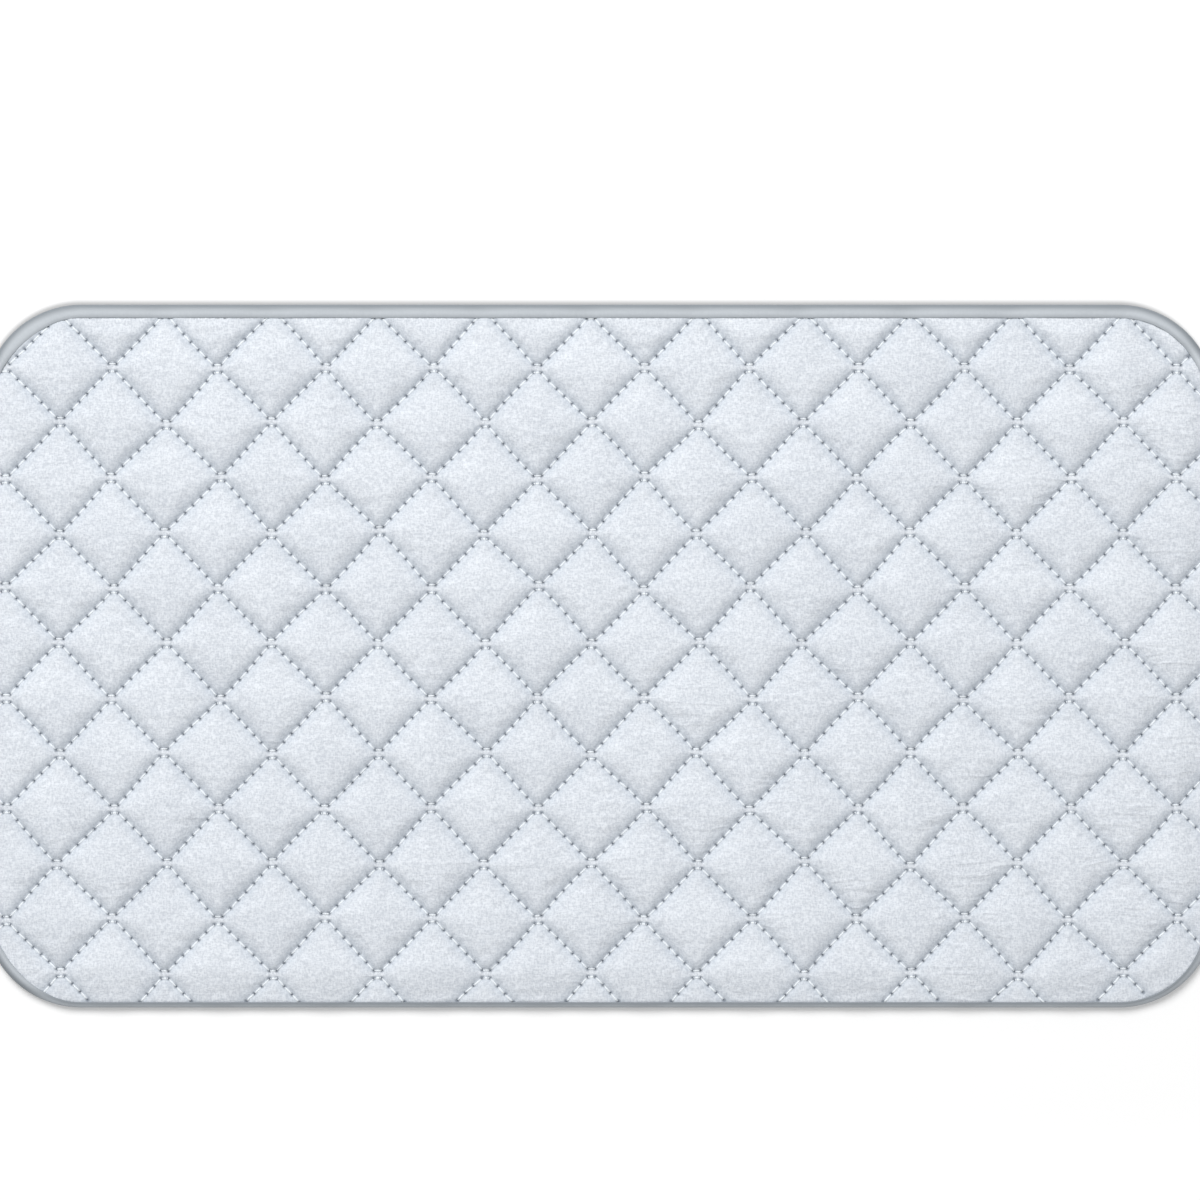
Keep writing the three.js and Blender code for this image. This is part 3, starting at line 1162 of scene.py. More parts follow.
@dataclass(frozen=True)
class SewnDetail:
    """The small forms that sewing pulls into the face cloth."""

    crease_reach: float = 4.0 * MM
    crease_rise: float = 0.25 * MM
    crease_swing: float = 0.15 * MM
    pucker_reach: float = 5.0 * MM
    pucker_start: float = 3.0 * MM
    pucker_rise: float = 0.05 * MM
    knob_reach: float = 1.6 * MM
    knob_rise: float = 0.9 * MM
    hole_dip: float = 1.0 * MM
    hole_phase: float = 0.9
    patches: Wrinkles = Wrinkles(7, 60.0 * MM, 60.0 * MM, 400.0 * MM)
    patch_span: Span = (-0.5, 1.2)
    least_patch: float = 0.35
    folds: Wrinkles = Wrinkles(3, 16.0 * MM, 3.2 * MM, 14.0 * MM, 0.11 * MM)
    fold_clear: Span = (1.0 * MM, 9.0 * MM)

    def relief(self, grid: LatticeGrid, phases: list[Array]) -> Array:
        """How far the cloth stands off its padding, not counting the needle holes.

        With d the distance to the nearest line of a family, a crease rim is d/r exp(1 - d/r), higher
        between holes than beside them. Puckers run off the line and fade as exp(-d/r), a knob stands at
        each crossing where the cloth is pushed up between two tips, and long soft wrinkles lie in patches.

        Args:
            grid: The cloth's grid.
            phases: The waves along both families' lines, 1 at a hole and -1 between two.

        Returns:
            One height for each point.
        """
        rise = np.zeros_like(grid.x)
        for near, phase in zip((grid.near_a, grid.near_b), phases):
            rim = near / self.crease_reach * np.exp(1 - near / self.crease_reach)
            pucker = np.exp(-near / self.pucker_reach) * smooth_step(0.0, self.pucker_start, near)
            rise += rim * (self.crease_rise - self.crease_swing * phase) - pucker * self.pucker_rise * phase
        rise += np.exp(-(grid.near_a**2 + grid.near_b**2) / self.knob_reach**2) * self.knob_rise
        patchy = smooth_step(*self.patch_span, grid.wrinkles(self.patches))
        share = self.least_patch + (1 - self.least_patch) * patchy
        clear = smooth_step(*self.fold_clear, np.minimum(grid.near_a, grid.near_b))
        return rise + grid.wrinkles(self.folds) * share * clear

    def holes(self, grid: LatticeGrid, phases: list[Array]) -> Array:
        """Finds the needle holes.

        Args:
            grid: The cloth's grid.
            phases: The waves along both families' lines, 1 at a hole and -1 between two.

        Returns:
            True for points that are holes.
        """
        first = (grid.near_a < SMALL) & (phases[0] > self.hole_phase)
        second = (grid.near_b < SMALL) & (phases[1] > self.hole_phase)
        return grid.stitched() & (first | second)


@dataclass
class QuiltedLayers:
    """The face cloth, the wadding and the backing cloth, quilted together."""

    lattice: DiamondLattice
    outline: RoundedOutline
    window: RoundedOutline
    face_valley: float = 5.15 * MM
    back_valley: float = 2.50 * MM
    face_rise: float = 4.7 * MM
    roundness: float = 0.8
    skew: float = 0.42
    far_to_near: Span = (200.0 * MM, -200.0 * MM)
    rim_far: float = 0.72
    rim_near: float = 0.42
    reach_far: float = 12.0 * MM
    reach_near: float = 26.0 * MM
    under_tape: Span = (-4.0 * MM, 0.0)
    uneven: Wrinkles = Wrinkles(11, 14.0 * MM, 5.0 * MM, 20.0 * MM, 0.08 * MM)
    uneven_clear: Span = (1.0 * MM, 8.0 * MM)
    swollen: Span = (0.15, 0.9)
    beside_tape: Span = (-2.0 * MM, 3.0 * MM)
    tucked: Span = (3.0 * MM, 0.0)
    tuck: float = 0.6 * MM
    back_share: float = 0.62
    back_hole: float = 0.5 * MM
    back_edge: Span = (10.0 * MM, 6.0 * MM)
    table_gap: float = 0.05 * MM
    table_softness: float = 0.25 * MM
    wadding_inset: float = 1.5 * MM
    face_skin: float = 1.2 * MM
    face_fill: float = 0.92
    back_skin: float = 0.7 * MM
    back_fill: float = 0.9
    map_margin: float = 1.01
    coarse_steps: int = 14
    detail: SewnDetail = SewnDetail()
    swelling: SwellingCloth = SwellingCloth()
    coarse: LatticeGrid = field(init=False)
    fine: LatticeGrid = field(init=False)
    puff: Array = field(init=False)
    fine_puff: Array = field(init=False)

    def pillow(self, a: Array, b: Array) -> Array:
        """The first shape of the padding, from 0 on the lines to 1 at the diamonds' middles.

        With t = (4 s (1 - s))^roundness across a diamond in each family, it is a soft choice of the lower
        one, sqrt(2 / (1 / t1^2 + 1 / t2^2)), times 1 - skew (s1 - s2), which moves its crown to the near
        side.

        Args:
            a: The points' counts in the first family.
            b: Their counts in the second.

        Returns:
            One share for each point.
        """
        sa, sb = a - np.floor(a), b - np.floor(b)
        t1, t2 = (np.maximum(4.0 * s * (1 - s), SMALL) ** self.roundness for s in (sa, sb))
        return np.sqrt(2.0 / (t1**-2 + t2**-2)) * (1 - self.skew * (sa - sb))

    def fullness(self, y: Array, depth: Array) -> Array:
        """The share of the padding's height that is left beside the tape.

        It rises from a rim's share to 1 over a reach, and both go from their far to their near values
        across the pad. Under the tape it falls to 0.

        Args:
            y: Places across the pad.
            depth: How far inside the tape's hem they lie.

        Returns:
            One share for each place.
        """
        near = smooth_step(*self.far_to_near, y)
        rim = self.rim_far + (self.rim_near - self.rim_far) * near
        reach = self.reach_far + (self.reach_near - self.reach_far) * near
        share = rim + (1 - rim) * smooth_step(0.0, 1.0, depth / reach)
        return share * smooth_step(*self.under_tape, depth)

    def rim_height(self, x: Array, y: Array) -> Array:
        """How high the face cloth lies where it goes under the tape."""
        swell = self.fullness(y, np.zeros_like(y)) * self.pillow(*self.lattice.counts(x, y))
        return self.face_valley + self.face_rise * swell

    def swell(self) -> None:
        """Shapes the padding on a coarse grid and carries it to a finer one.

        The pillow is the cloth's first shape. Simulated cloth then swells from it, held at every stitch and
        under the tape. Near the stitches the first shape is kept.
        """
        self.coarse = LatticeGrid(self.lattice, self.outline, self.coarse_steps)
        self.fine = LatticeGrid(self.lattice, self.outline, 2 * self.coarse_steps)
        depth = self.window.depth(self.coarse.x, self.coarse.y)
        room = self.fullness(self.coarse.y, depth)
        puff = np.zeros((*self.coarse.x.shape, 3))
        clear = smooth_step(*self.uneven_clear, np.minimum(self.coarse.near_a, self.coarse.near_b))
        uneven = self.coarse.wrinkles(self.uneven) * clear
        pillow = self.pillow(self.coarse.a, self.coarse.b)
        puff[..., 2] = (self.face_rise * pillow + uneven) * room
        start = self.coarse.points(puff[..., 2])
        held = (self.coarse.stitched() | (depth < 0)).ravel()
        moved = self.swelling.settle(start, self.coarse.faces, held[self.coarse.used])
        puff += self.coarse.spread(moved) * (room * smooth_step(*self.swollen, pillow))[..., None]
        self.puff = puff
        self.fine_puff = self.coarse.finer(puff)

    def build_cover(self) -> Piece:
        """Builds the face cloth: the swollen padding, the small forms of its sewing and its needle holes.

        Points on a stitched line lie in the valley, and round the edge the cloth is tucked in.

        Returns:
            The cover.
        """
        grid, pitch = self.fine, 2 * self.coarse_steps // self.lattice.stitches
        phases = [np.cos(2 * np.pi * (count - pitch / 2) / pitch) for count in (grid.ib, grid.ia)]
        room = smooth_step(*self.beside_tape, self.window.depth(grid.x, grid.y))
        padding = self.fine_puff[..., 2] + self.detail.relief(grid, phases) * room
        swell = np.where(grid.stitched(), 0.0, padding)
        dip = self.detail.hole_dip * self.detail.holes(grid, phases) * room
        tuck = smooth_step(*self.tucked, self.outline.depth(grid.x, grid.y)) * self.tuck
        z = self.face_valley + swell - dip - tuck
        points = grid.points(z, self.fine_puff[..., 0], self.fine_puff[..., 1])
        cover = new_piece("quilted_cover", points, grid.faces.tolist())
        self.lay_bake_map(cover)
        join_frame(cover, Slot.COVER, "top_cover")
        return cover

    def build_backing(self) -> Piece:
        """Builds the backing cloth.

        It is the padding turned over and pressed flat by the table: z never falls under the table gap,
        and comes near it as a soft floor, gap + s log(1 + exp((z - gap) / s)).

        Returns:
            The backing.
        """
        grid, soft = self.coarse, self.table_softness
        pitch = self.coarse_steps // self.lattice.stitches
        hang = self.back_valley - self.puff[..., 2] * self.back_share
        z = self.table_gap + soft * np.logaddexp(0.0, (hang - self.table_gap) / soft)
        first, second = ((count + pitch // 2) % pitch == 0 for count in (grid.ia, grid.ib))
        z = z + self.back_hole * (grid.stitched() & (first | second))
        edge = smooth_step(*self.back_edge, self.outline.depth(grid.x, grid.y))
        z = z * (1 - edge) + self.back_valley * edge
        backing = new_piece("quilted_backing", grid.points(z), grid.faces[:, ::-1].tolist())
        self.lay_bake_map(backing)
        join_frame(backing, Slot.BACKING, "backing_cover")
        return backing

    def build_wadding(self) -> Piece:
        """Builds the wadding: a closed pad that keeps a skin's distance inside both cloths.

        Its top follows the padding at every other coarse point and its underside the padding turned
        over, and a strip joins the two round the edge.

        Returns:
            The wadding.
        """
        steps = self.coarse_steps // 2
        grid = LatticeGrid(self.lattice, self.outline.inset(self.wadding_inset), steps)
        puff = self.puff[::2, ::2, 2]
        top = self.face_valley - self.face_skin + puff * self.face_fill
        hang = self.back_valley - puff * self.back_share * self.back_fill
        low = np.maximum(hang + self.back_skin, self.back_skin)
        upper, lower = grid.points(top), grid.points(low)
        count = len(upper)
        faces = np.concatenate([grid.faces, grid.faces[:, ::-1] + count])
        edges = np.stack([grid.faces, np.roll(grid.faces, -1, axis=1)], axis=-1).reshape(-1, 2)
        edges = edges[edges[:, 0] != edges[:, 1]]
        keys = np.sort(edges, axis=1)
        _, where, uses = np.unique(keys[:, 0] * count + keys[:, 1], return_index=True, return_counts=True)
        rim = edges[where[uses == 1]]
        strip = np.stack([rim[:, 1], rim[:, 0], rim[:, 0] + count, rim[:, 1] + count], axis=-1)
        wadding = new_piece("fibre_layer", np.concatenate([upper, lower]), [*faces.tolist(), *strip.tolist()])
        join_frame(wadding, Slot.WADDING, "wadding")
        return wadding

    def lay_bake_map(self, piece: Piece) -> None:
        """Gives a cloth a map that is its plan, scaled to fit the unit square.

        Args:
            piece: The cloth.
        """
        mesh = piece.data
        corner = np.empty(len(mesh.loops), dtype=np.int32)
        mesh.loops.foreach_get("vertex_index", corner)
        places = np.empty(len(mesh.vertices) * 3)
        mesh.vertices.foreach_get("co", places)
        across = 2 * self.map_margin * self.outline.half_length
        set_map(piece, BAKE_MAP, places.reshape(-1, 3)[corner, :2] / across + 0.5)


@dataclass(frozen=True)
class ThreadShape:
    """How one stitch of a thread runs: it lies along the cloth and dives at both its holes."""

    width: float = 1.5 * MM
    height: float = 0.9 * MM
    seat: float = 0.22 * MM
    dive: float = 1.0 * MM
    plunge: int = 4
    # Where along a stitch the painted shade on the thread's end begins and where it is full.
    hidden: Span = (0.62, 0.9)
    sides: int = 6
    shares: tuple[float, ...] = (0.0, 0.06, 0.14, 0.30, 0.50, 0.70, 0.86, 0.94)

    def tube(self, name: str, holes: Array, cloth_z: float, side: Side, ring: bool = False) -> Piece:
        """A thread through a row of holes.

        With e = |2 t - 1| along a stitch, the thread's middle stands seat - (seat + dive) e^plunge off
        the cloth. Round it goes an ellipse, across the thread and at right angles to its run.

        Args:
            name: The piece's name.
            holes: The holes' places, in order.
            cloth_z: The height of the cloth's stitched line.
            side: Whether it lies on the face or under the back.
            ring: True if the last hole joins the first.

        Returns:
            The thread.
        """
        share = np.array(self.shares)
        ends = np.roll(holes, -1, axis=0) if ring else holes[1:]
        starts = holes if ring else holes[:-1]
        plan = (starts[:, None] + (ends - starts)[:, None] * share[None, :, None]).reshape(-1, 2)
        e = np.tile(np.abs(2 * share - 1), len(starts))
        if not ring:
            plan, e = np.concatenate([plan, holes[-1:]]), np.append(e, 1.0)
        z = cloth_z + side.value * (self.seat - (self.seat + self.dive) * e**self.plunge)
        path = np.column_stack([plan, z])
        if ring:
            run = np.roll(path, -1, axis=0) - np.roll(path, 1, axis=0)
        else:
            run = np.gradient(path, axis=0)
        run /= np.linalg.norm(run, axis=1, keepdims=True)
        across = np.column_stack([run[:, 1], -run[:, 0], np.zeros(len(run))])
        across /= np.linalg.norm(across, axis=1, keepdims=True)
        up = np.cross(across, run)
        angle = np.arange(self.sides) / self.sides * 2 * np.pi
        wide = across[:, None] * (np.cos(angle) * self.width / 2)[None, :, None]
        tall = up[:, None] * (np.sin(angle) * self.height / 2)[None, :, None]
        points = (path[:, None] + wide + tall).reshape(-1, 3)
        rows = len(path)
        faces = grid_quads(rows, self.sides, ring=ring, tube=True)[:, ::-1].tolist()
        if not ring:
            last = rows * self.sides - 1
            faces += [list(range(self.sides)), list(range(last, last - self.sides, -1))]
        thread = new_piece(name, points, faces)
        # Painted shade on the thread's ends, where they dive into the holes.
        thread_end_shade = thread.data.attributes.new(HOLE_END_SHADE, "FLOAT", "POINT")
        depth = np.repeat(smooth_step(*self.hidden, e), self.sides)
        thread_end_shade.data.foreach_set("value", depth.astype(np.float32))
        steps = np.linalg.norm(np.diff(path, axis=0, append=path[:1] if ring else path[-1:]), axis=1)
        along = np.concatenate([[0.0], np.cumsum(steps)])[: rows + 1 if ring else rows]
        places = grid_map(along, np.arange(self.sides + 1) / self.sides)
        set_map(thread, RUN_MAP, places.reshape(-1, 4, 2)[:, ::-1].reshape(-1, 2))
        return thread


@dataclass
class Stitching:
    """Every row of lock stitch: the needle thread on the face and the bobbin thread on the back."""

    lattice: DiamondLattice
    face_z: float
    back_z: float
    needle: ThreadShape = ThreadShape()
    bobbin: ThreadShape = ThreadShape(
        width=1.0 * MM,
        height=0.7 * MM,
        seat=0.25 * MM,
        dive=0.5 * MM,
        sides=5,
        shares=(0.0, 0.12, 0.35, 0.65, 0.88),
    )
    jitter: float = 0.22 * MM
    slack: float = 0.5 * MM

    def holes_of(self, node: str) -> Array:
        """The needle holes that a CAD length of thread passes through.

        The height of the node's middle on the lattice tells its row, and its ends how far it goes.

        Args:
            node: The CAD node's name.

        Returns:
            The holes' places, from left to right, each a little off its line.
        """
        low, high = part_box(node)
        middle = ((low.y + high.y) / 2 - self.lattice.crossing[1]) / (self.lattice.width / 2)
        holes = self.lattice.needle_holes(round(middle + 0.5))
        holes = holes[(holes[:, 0] > low.x - self.slack) & (holes[:, 0] < high.x + self.slack)]
        sewn = np.stack(self.lattice.sewn(holes[:, 0], holes[:, 1]), axis=-1)
        return sewn + np.random.default_rng(hash_name(node)).normal(scale=self.jitter, size=holes.shape)

    def build(self) -> list[Piece]:
        """Builds every row, and the back of the short points that the face's nodes stand for.

        Returns:
            All the threads.
        """
        made = []
        for node in sorted(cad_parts):
            if node.startswith(("needle_thread_", "needle_tip_")):
                holes = self.holes_of(node)
                name = node.replace("needle_thread", "needle_row").replace("needle_tip", "needle_point")
                made.append(self.needle.tube(name, holes, self.face_z, Side.FACE))
                join_frame(made[-1], Slot.THREAD, node)
                if node.startswith("needle_tip_"):
                    name = node.replace("needle_tip", "bobbin_point")
                    made.append(self.bobbin.tube(name, holes, self.back_z, Side.BACK))
                    join_frame(made[-1], Slot.THREAD)
            elif node.startswith("bobbin_thread_"):
                name = node.replace("bobbin_thread", "bobbin_row")
                made.append(self.bobbin.tube(name, self.holes_of(node), self.back_z, Side.BACK))
                join_frame(made[-1], Slot.THREAD, node)
        return made


def hash_name(name: str) -> int:
    """A number for a name that is the same on every run."""
    return sum((place + 1) * ord(letter) for place, letter in enumerate(name))


@dataclass
class EdgeBinding:
    """The tape folded round the raw edge, and the seam hidden inside it."""

    outline: RoundedOutline
    raw_edge: float = 1.6 * MM
    face_width: float = 6.6 * MM
    back_width: float = 8.0 * MM
    shift: Span = (-0.4 * MM, -2.7 * MM)
    left_fill: float = 2.4 * MM
    thickness: float = 0.7 * MM
    side_height: float = 3.8 * MM
    foot: float = 2.6 * MM
    lip_cover: float = 0.4 * MM
    hem_roll: float = 0.7 * MM
    hem_nose: float = 0.25 * MM
    crest_rise: float = 0.5 * MM
    crest_inset: float = 4.2 * MM
    crest_share: float = 0.16
    shoulder: float = 0.65
    shoulder_turn: Span = (50.0, 90.0)
    shoulder_width: Span = (4.5 * MM, 8.0 * MM)
    section_points: tuple[int, int, int, int] = (6, 9, 12, 8)
    step: float = 5.0 * MM
    corner_steps: int = 26
    shaded: Span = (0.40, -0.92)
    shaded_turn: Span = (0.45, 0.85)
    least_shade: float = 0.3
    hem_shade: float = 0.4
    fold_reach: Span = (1.0 * MM, 6.0 * MM)
    hem_reach: Span = (-3.0 * MM, -0.3 * MM)
    seam_inset: float = 2.6 * MM
    seam_pitch: float = 3.6 * MM
    seam_height: float = 4.7 * MM
    seam: ThreadShape = ThreadShape(
        width=0.8 * MM,
        height=0.7 * MM,
        seat=0.0,
        dive=0.3 * MM,
        sides=5,
        shares=(0.0, 0.2, 0.5, 0.8),
    )

    def cloth_edge(self) -> RoundedOutline:
        """The outline of the cloths' raw edge inside the fold."""
        return self.outline.inset(self.raw_edge)

    def window(self) -> RoundedOutline:
        """The outline of the cloth that the tape leaves open on the face."""
        return replace(self.outline.inset(self.face_width), shift=self.shift, left_fill=self.left_fill)

    def section(self, width: Array, lip: Array) -> tuple[Array, Array]:
        """The tape's closed section at each station, as inset from the outline and height.

        From the hem under the pad it runs flat on the table, up a quarter ellipse to the side, up a
        second quarter with a squared shoulder to its crest, and down t^2 to a rounded hem on the face.
        The inner wall is the same line moved in by the tape's thickness.

        Args:
            width: How wide the tape shows on the face at each station.
            lip: How high its hem on the face lies there.

        Returns:
            The insets and the heights, a row for each station.
        """
        column, top = width[:, None], lip[:, None] + self.crest_rise
        ones = np.ones_like(column)
        crest = self.crest_inset + self.crest_share * (column - self.crest_inset)
        crest = np.minimum(column - self.hem_roll, crest)
        under, below, above, hem = self.section_points
        flat = np.linspace(self.back_width, self.foot, under)[None]
        lower = np.linspace(0.0, np.pi / 2, below)[None, 1:]
        least, most = self.shoulder_turn
        last = np.radians(least + (most - least) * smooth_step(*self.shoulder_width, column))
        upper = np.linspace(0.0, 1.0, above)[None, 1:] * last
        fall = np.linspace(0.0, 1.0, hem)[None, 1:]
        rounded = (np.sin(upper) / np.sin(last)) ** self.shoulder
        inset = np.concatenate(
            [
                flat * ones,
                self.foot * (1 - np.sin(lower)) * ones,
                crest * (1 - np.cos(upper)) / (1 - np.cos(last)),
                crest + (column - crest) * fall,
            ],
            axis=1,
        )
        height = np.concatenate(
            [
                0.0 * flat * ones,
                self.side_height * (1 - np.cos(lower)) * ones,
                self.side_height + (top - self.side_height) * rounded,
                top - self.crest_rise * fall**2,
            ],
            axis=1,
        )
        run_i, run_z = np.gradient(inset, axis=1), np.gradient(height, axis=1)
        size = np.maximum(np.hypot(run_i, run_z), TINY)
        inner_i = inset + self.thickness * run_z / size
        inner_z = height - self.thickness * run_i / size
        nose_i = (inset[:, -1:] + inner_i[:, -1:]) / 2 + self.hem_nose
        nose_z = (height[:, -1:] + inner_z[:, -1:]) / 2
        return (
            np.concatenate([inset, nose_i, inner_i[:, ::-1]], axis=1),
            np.concatenate([height, nose_z, inner_z[:, ::-1]], axis=1),
        )

    def shade(self, inset: Array, width: Array, outward: Array) -> Array:
        """How much painted shade each point of the tape's section gets.

        Along most of the pad the painted shade deepens towards its outer fold, and a little beside its hem.
        Where it faces the shaded direction all of it is painted dark, and most of all beside its hem.

        Args:
            inset: The section's insets, a row for each station.
            width: How wide the tape shows on the face at each station.
            outward: The outward direction at each station.

        Returns:
            One share for each point, a row for each station.
        """
        turned = smooth_step(*self.shaded_turn, outward @ np.array(self.shaded))[:, None]
        by_fold = 1 - smooth_step(*self.fold_reach, inset)
        by_hem = smooth_step(*self.hem_reach, inset - width[:, None])
        lit = np.maximum(by_fold, self.hem_shade * by_hem)
        return (1 - turned) * lit + turned * (self.least_shade + (1 - self.least_shade) * by_hem)

    def build_tape(self, layers: QuiltedLayers) -> Piece:
        """Carries the section round the pad.

        The face width at a station is the mean width less the window's shift along the outward
        direction, so the tape is wide on the far side and narrow on the near one, and the two left
        corners gain a little more. Its hem lies on the face cloth, whose height is evened out over three
        stations.

        Args:
            layers: The cloths that it binds.

        Returns:
            The tape.
        """
        place, outward, walked = self.outline.walk(self.step, self.corner_steps)
        corner = 2 * np.maximum(-outward[:, 0], 0.0) * np.abs(outward[:, 1])
        width = self.face_width - outward @ np.array(self.shift) + self.left_fill * corner**2
        hem = place - outward * width[:, None]
        cloth = layers.rim_height(hem[:, 0], hem[:, 1])
        even = np.mean([np.roll(cloth, shift) for shift in (-1, 0, 1)], axis=0)
        inset, height = self.section(width, even + self.lip_cover)
        plan = place[:, None] - outward[:, None] * inset[..., None]
        points = np.concatenate([plan, height[..., None]], axis=-1)
        rows, columns = inset.shape
        faces = grid_quads(rows, columns, ring=True, tube=True)
        tape = new_piece("folded_tape", points.reshape(-1, 3), faces.tolist())
        mean_i, mean_z = inset.mean(axis=0), height.mean(axis=0)
        steps = np.hypot(np.diff(mean_i, append=mean_i[:1]), np.diff(mean_z, append=mean_z[:1]))
        set_map(tape, RUN_MAP, grid_map(walked, np.concatenate([[0.0], np.cumsum(steps)])))
        # Painted shade on the tape, kept as a point attribute.
        folded = tape.data.attributes.new(FOLD_SHADE, "FLOAT", "POINT")
        folded.data.foreach_set("value", self.shade(inset, width, outward).ravel().astype(np.float32))
        join_frame(tape, Slot.TAPE, "edge_binding")
        return tape

    def build_seam(self) -> list[Piece]:
        """Builds the two threads of the seam inside the fold.

        Returns:
            The needle's and the bobbin's thread.
        """
        line = self.outline.inset(self.seam_inset)
        place, _, walked = line.walk(self.step / 2, self.corner_steps)
        count = round(float(walked[-1]) / self.seam_pitch)
        at = np.arange(count) / count * walked[-1]
        closed = np.concatenate([place, place[:1]])
        holes = np.column_stack([np.interp(at, walked, closed[:, 0]), np.interp(at, walked, closed[:, 1])])
        made = []
        for node, side, most in (
            ("binding_needle_thread", Side.FACE, self.seam_height),
            ("binding_bobbin_thread", Side.BACK, self.side_height),
        ):
            low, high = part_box(node)
            height = min((low.z + high.z) / 2, most)
            made.append(self.seam.tube(node.replace("thread", "seam"), holes, height, side, ring=True))
            join_frame(made[-1], Slot.THREAD, node)
        return made


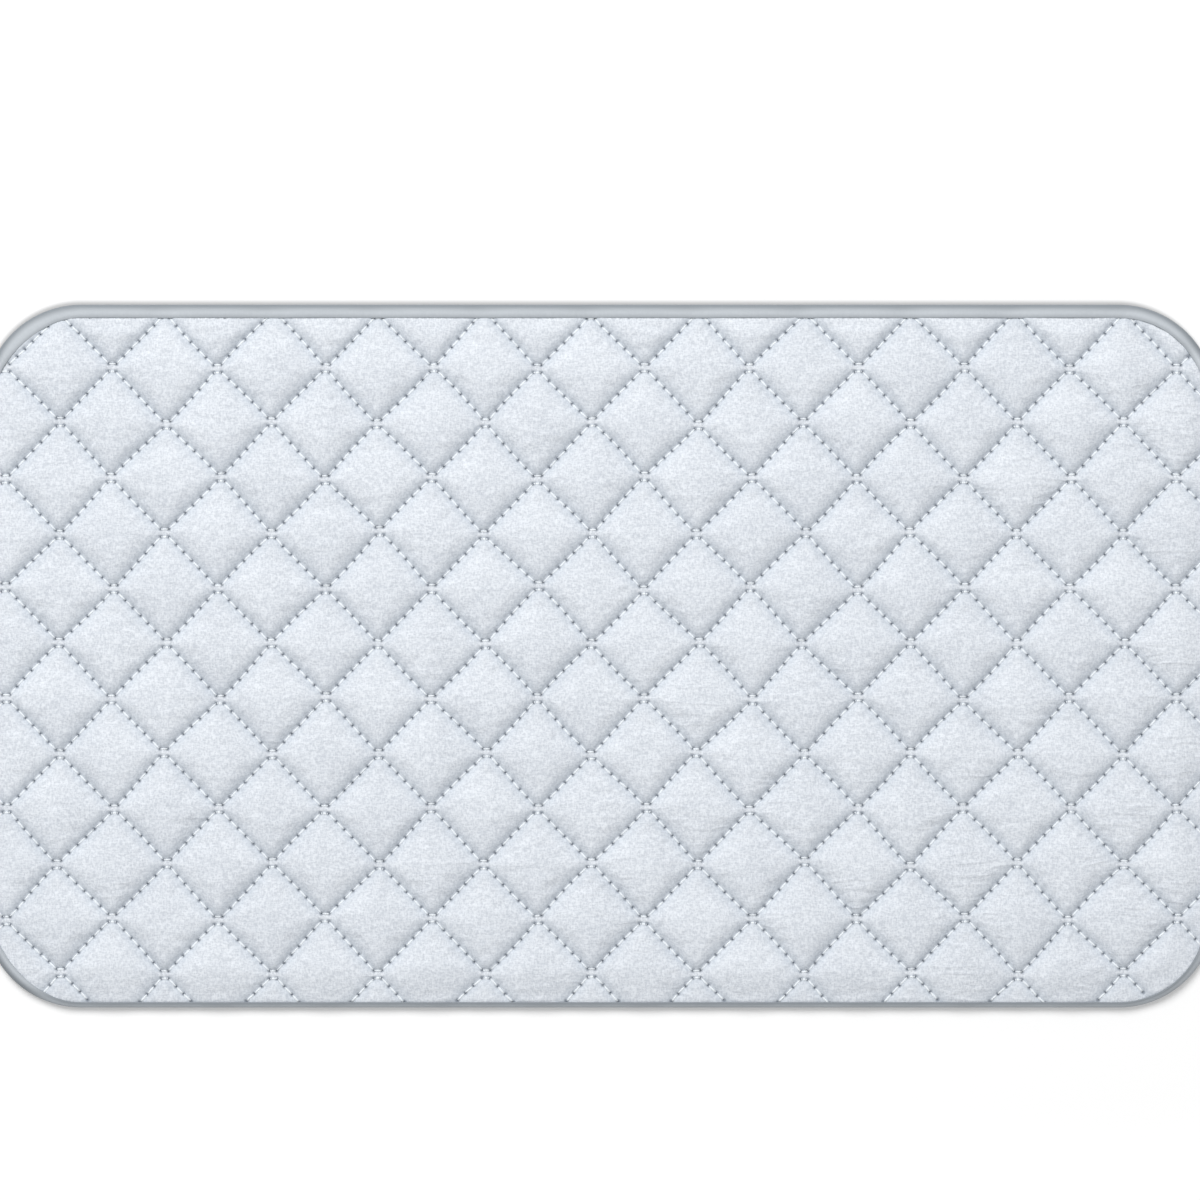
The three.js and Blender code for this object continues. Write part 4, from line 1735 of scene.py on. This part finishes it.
@dataclass
class Studio:
    """The floor, the light and the camera."""

    outline: RoundedOutline
    picture: int = 1200
    pad_pixels: float = 1232.5
    pad_centre_pixel: Span = (600.0, 656.1)
    camera_height: float = 3.2
    scale_height: float = 6.0 * MM
    sensor: float = 36.0
    ambient: float = 0.43
    key_from: tuple[float, float, float] = (-0.25, 0.70, 1.0)
    key_spread: float = 34.0
    key_share: float = 0.58
    key_distance: float = 6.5
    floor_half: float = 4.0
    floor_height: float = -0.2 * MM
    floor_colour: Colour = (0.85, 0.85, 0.85, 1.0)
    floor_roughness: float = 0.9
    floor_glow: float = 0.19
    glow_span: Span = (60.0 * MM, 600.0 * MM)
    rim_shade: float = 0.45
    rim_span: Span = (-2.5 * MM, 1.7 * MM)
    rim_shift: Span = (-1.0 * MM, 2.8 * MM)

    def build_camera(self) -> None:
        """Puts the camera straight over the pad, so that the picture's middle and scale match."""
        pixel = PAD_LENGTH / self.pad_pixels
        data = bpy.data.cameras.new("overhead_camera")
        data.sensor_width = self.sensor
        data.lens = self.sensor * self.camera_height / (pixel * self.picture)
        camera = bpy.data.objects.new("overhead_camera", data)
        middle = self.picture / 2
        camera.location = (
            (middle - self.pad_centre_pixel[0]) * pixel,
            (self.pad_centre_pixel[1] - middle) * pixel,
            self.camera_height + self.scale_height,
        )
        bpy.context.scene.collection.objects.link(camera)
        bpy.context.scene.camera = camera

    def build_floor(self) -> None:
        """Lays a white floor that the camera sees as white wherever no shadow falls.

        A little glow, which lights nothing else, makes up what the lamp leaves out. There is more of it far
        from the pad. A soft painted shadow darkens both round the pad's far side.
        """
        half = self.floor_half
        corners = np.array([[-half, -half], [half, -half], [half, half], [-half, half]])
        points = np.column_stack([corners, np.full(4, self.floor_height)])
        floor = new_piece("studio_floor", points, [[0, 1, 2, 3]])
        sketch, shader = open_material("white_floor")
        outside = self.off_pad(sketch)
        # Painted shadow round the pad's rim, in both the base and the glow colours.
        shade = sketch.ramp(outside, self.rim_span, (self.rim_shade, 0.0))
        sketch.feed(shader.inputs["Base Color"], sketch.blend(shade, self.floor_colour, BLACK))
        sketch.feed(shader.inputs["Emission Color"], sketch.blend(shade, WHITE, BLACK))
        shader.inputs["Roughness"].default_value = self.floor_roughness
        shader.inputs["Specular IOR Level"].default_value = 0.0
        rays = sketch.add("ShaderNodeLightPath")
        sight = sketch.math("MAXIMUM", rays.outputs["Is Camera Ray"], rays.outputs["Is Glossy Ray"])
        sight = sketch.math("MAXIMUM", sight, rays.outputs["Is Transmission Ray"])
        glow = sketch.ramp(outside, self.glow_span, (self.floor_glow, 1.0))
        sketch.feed(shader.inputs["Emission Strength"], sketch.times(sight, glow))
        floor.data.materials.append(bpy.data.materials["white_floor"])

    def off_pad(self, sketch: NodeSketch) -> Socket:
        """How far a place on the floor lies outside the pad's outline, moved a little to the far side.

        The move puts a soft painted shadow on that side, where the key lamp casts none.

        Args:
            sketch: A sketch on the floor's nodes.

        Returns:
            The distance.
        """
        spot = sketch.add("ShaderNodeTexCoord").outputs["Object"]
        halves = (self.outline.half_length, self.outline.half_width)
        past = []
        for place, half, move in zip(sketch.split(spot), halves, self.rim_shift):
            off = sketch.size(sketch.less(place, move))
            past.append(sketch.math("MAXIMUM", sketch.less(off, half - self.outline.radius), 0.0))
        return sketch.less(sketch.far(*past), self.outline.radius)

    def build_light(self) -> None:
        """Lights the pad from above and behind its far side, with an even fill from all round."""
        scene = bpy.context.scene
        world = bpy.data.worlds.new("studio")
        world.use_nodes = True
        scene.world = world
        sketch = NodeSketch(world.node_tree)
        rays = sketch.add("ShaderNodeLightPath")
        sight = sketch.math("MAXIMUM", rays.outputs["Is Camera Ray"], rays.outputs["Is Transmission Ray"])
        ground = world.node_tree.nodes["Background"]
        ground.inputs["Color"].default_value = WHITE
        level = sketch.math("MULTIPLY_ADD", sight, 1.0 - self.ambient, self.ambient)
        sketch.feed(ground.inputs["Strength"], level)
        towards = Vector(self.key_from).normalized()
        data = bpy.data.lights.new("soft_key", "AREA")
        data.shape = "DISK"
        half_angle = float(np.radians(self.key_spread / 2))
        data.size = 2 * self.key_distance * float(np.tan(half_angle))
        seen = float(np.sin(half_angle) * self.key_distance) / (data.size / 2)
        data.energy = self.key_share * (float(np.pi) * self.key_distance / seen) ** 2 / towards.z
        key = bpy.data.objects.new("soft_key", data)
        key.location = towards * self.key_distance
        key.rotation_euler = towards.to_track_quat("Z", "Y").to_euler()
        scene.collection.objects.link(key)
        scene.view_settings.view_transform = "Standard"


def main() -> None:
    """Builds the pad and its studio, and reports each piece."""
    logging.basicConfig(level=logging.INFO, format="%(name)s %(message)s")
    edge = RoundedOutline(PAD_LENGTH / 2, PAD_WIDTH / 2, CORNER_RADIUS)
    studio = Studio(edge)
    studio.build_camera()
    studio.build_floor()
    studio.build_light()

    lattice = DiamondLattice()
    binding = EdgeBinding(edge)
    layers = QuiltedLayers(lattice, binding.cloth_edge(), binding.window())
    layers.swell()
    cover, wadding, backing = layers.build_cover(), layers.build_wadding(), layers.build_backing()
    tape = binding.build_tape(layers)
    stitching = Stitching(lattice, layers.face_valley, layers.back_valley)
    threads = [*stitching.build(), *binding.build_seam()]

    effects = ClothEffects.make(lattice)
    cover.data.materials.append(FACE_CLOTH.material(effects))
    backing.data.materials.append(BACK_CLOTH.material(effects))
    wadding.data.materials.append(WaddingFinish().material(effects))
    tape.data.materials.append(TapeFinish().material(effects))
    thread_material = ThreadFinish().material(effects)
    for thread in threads:
        thread.data.materials.append(thread_material)


if __name__ == "__main__":
    main()
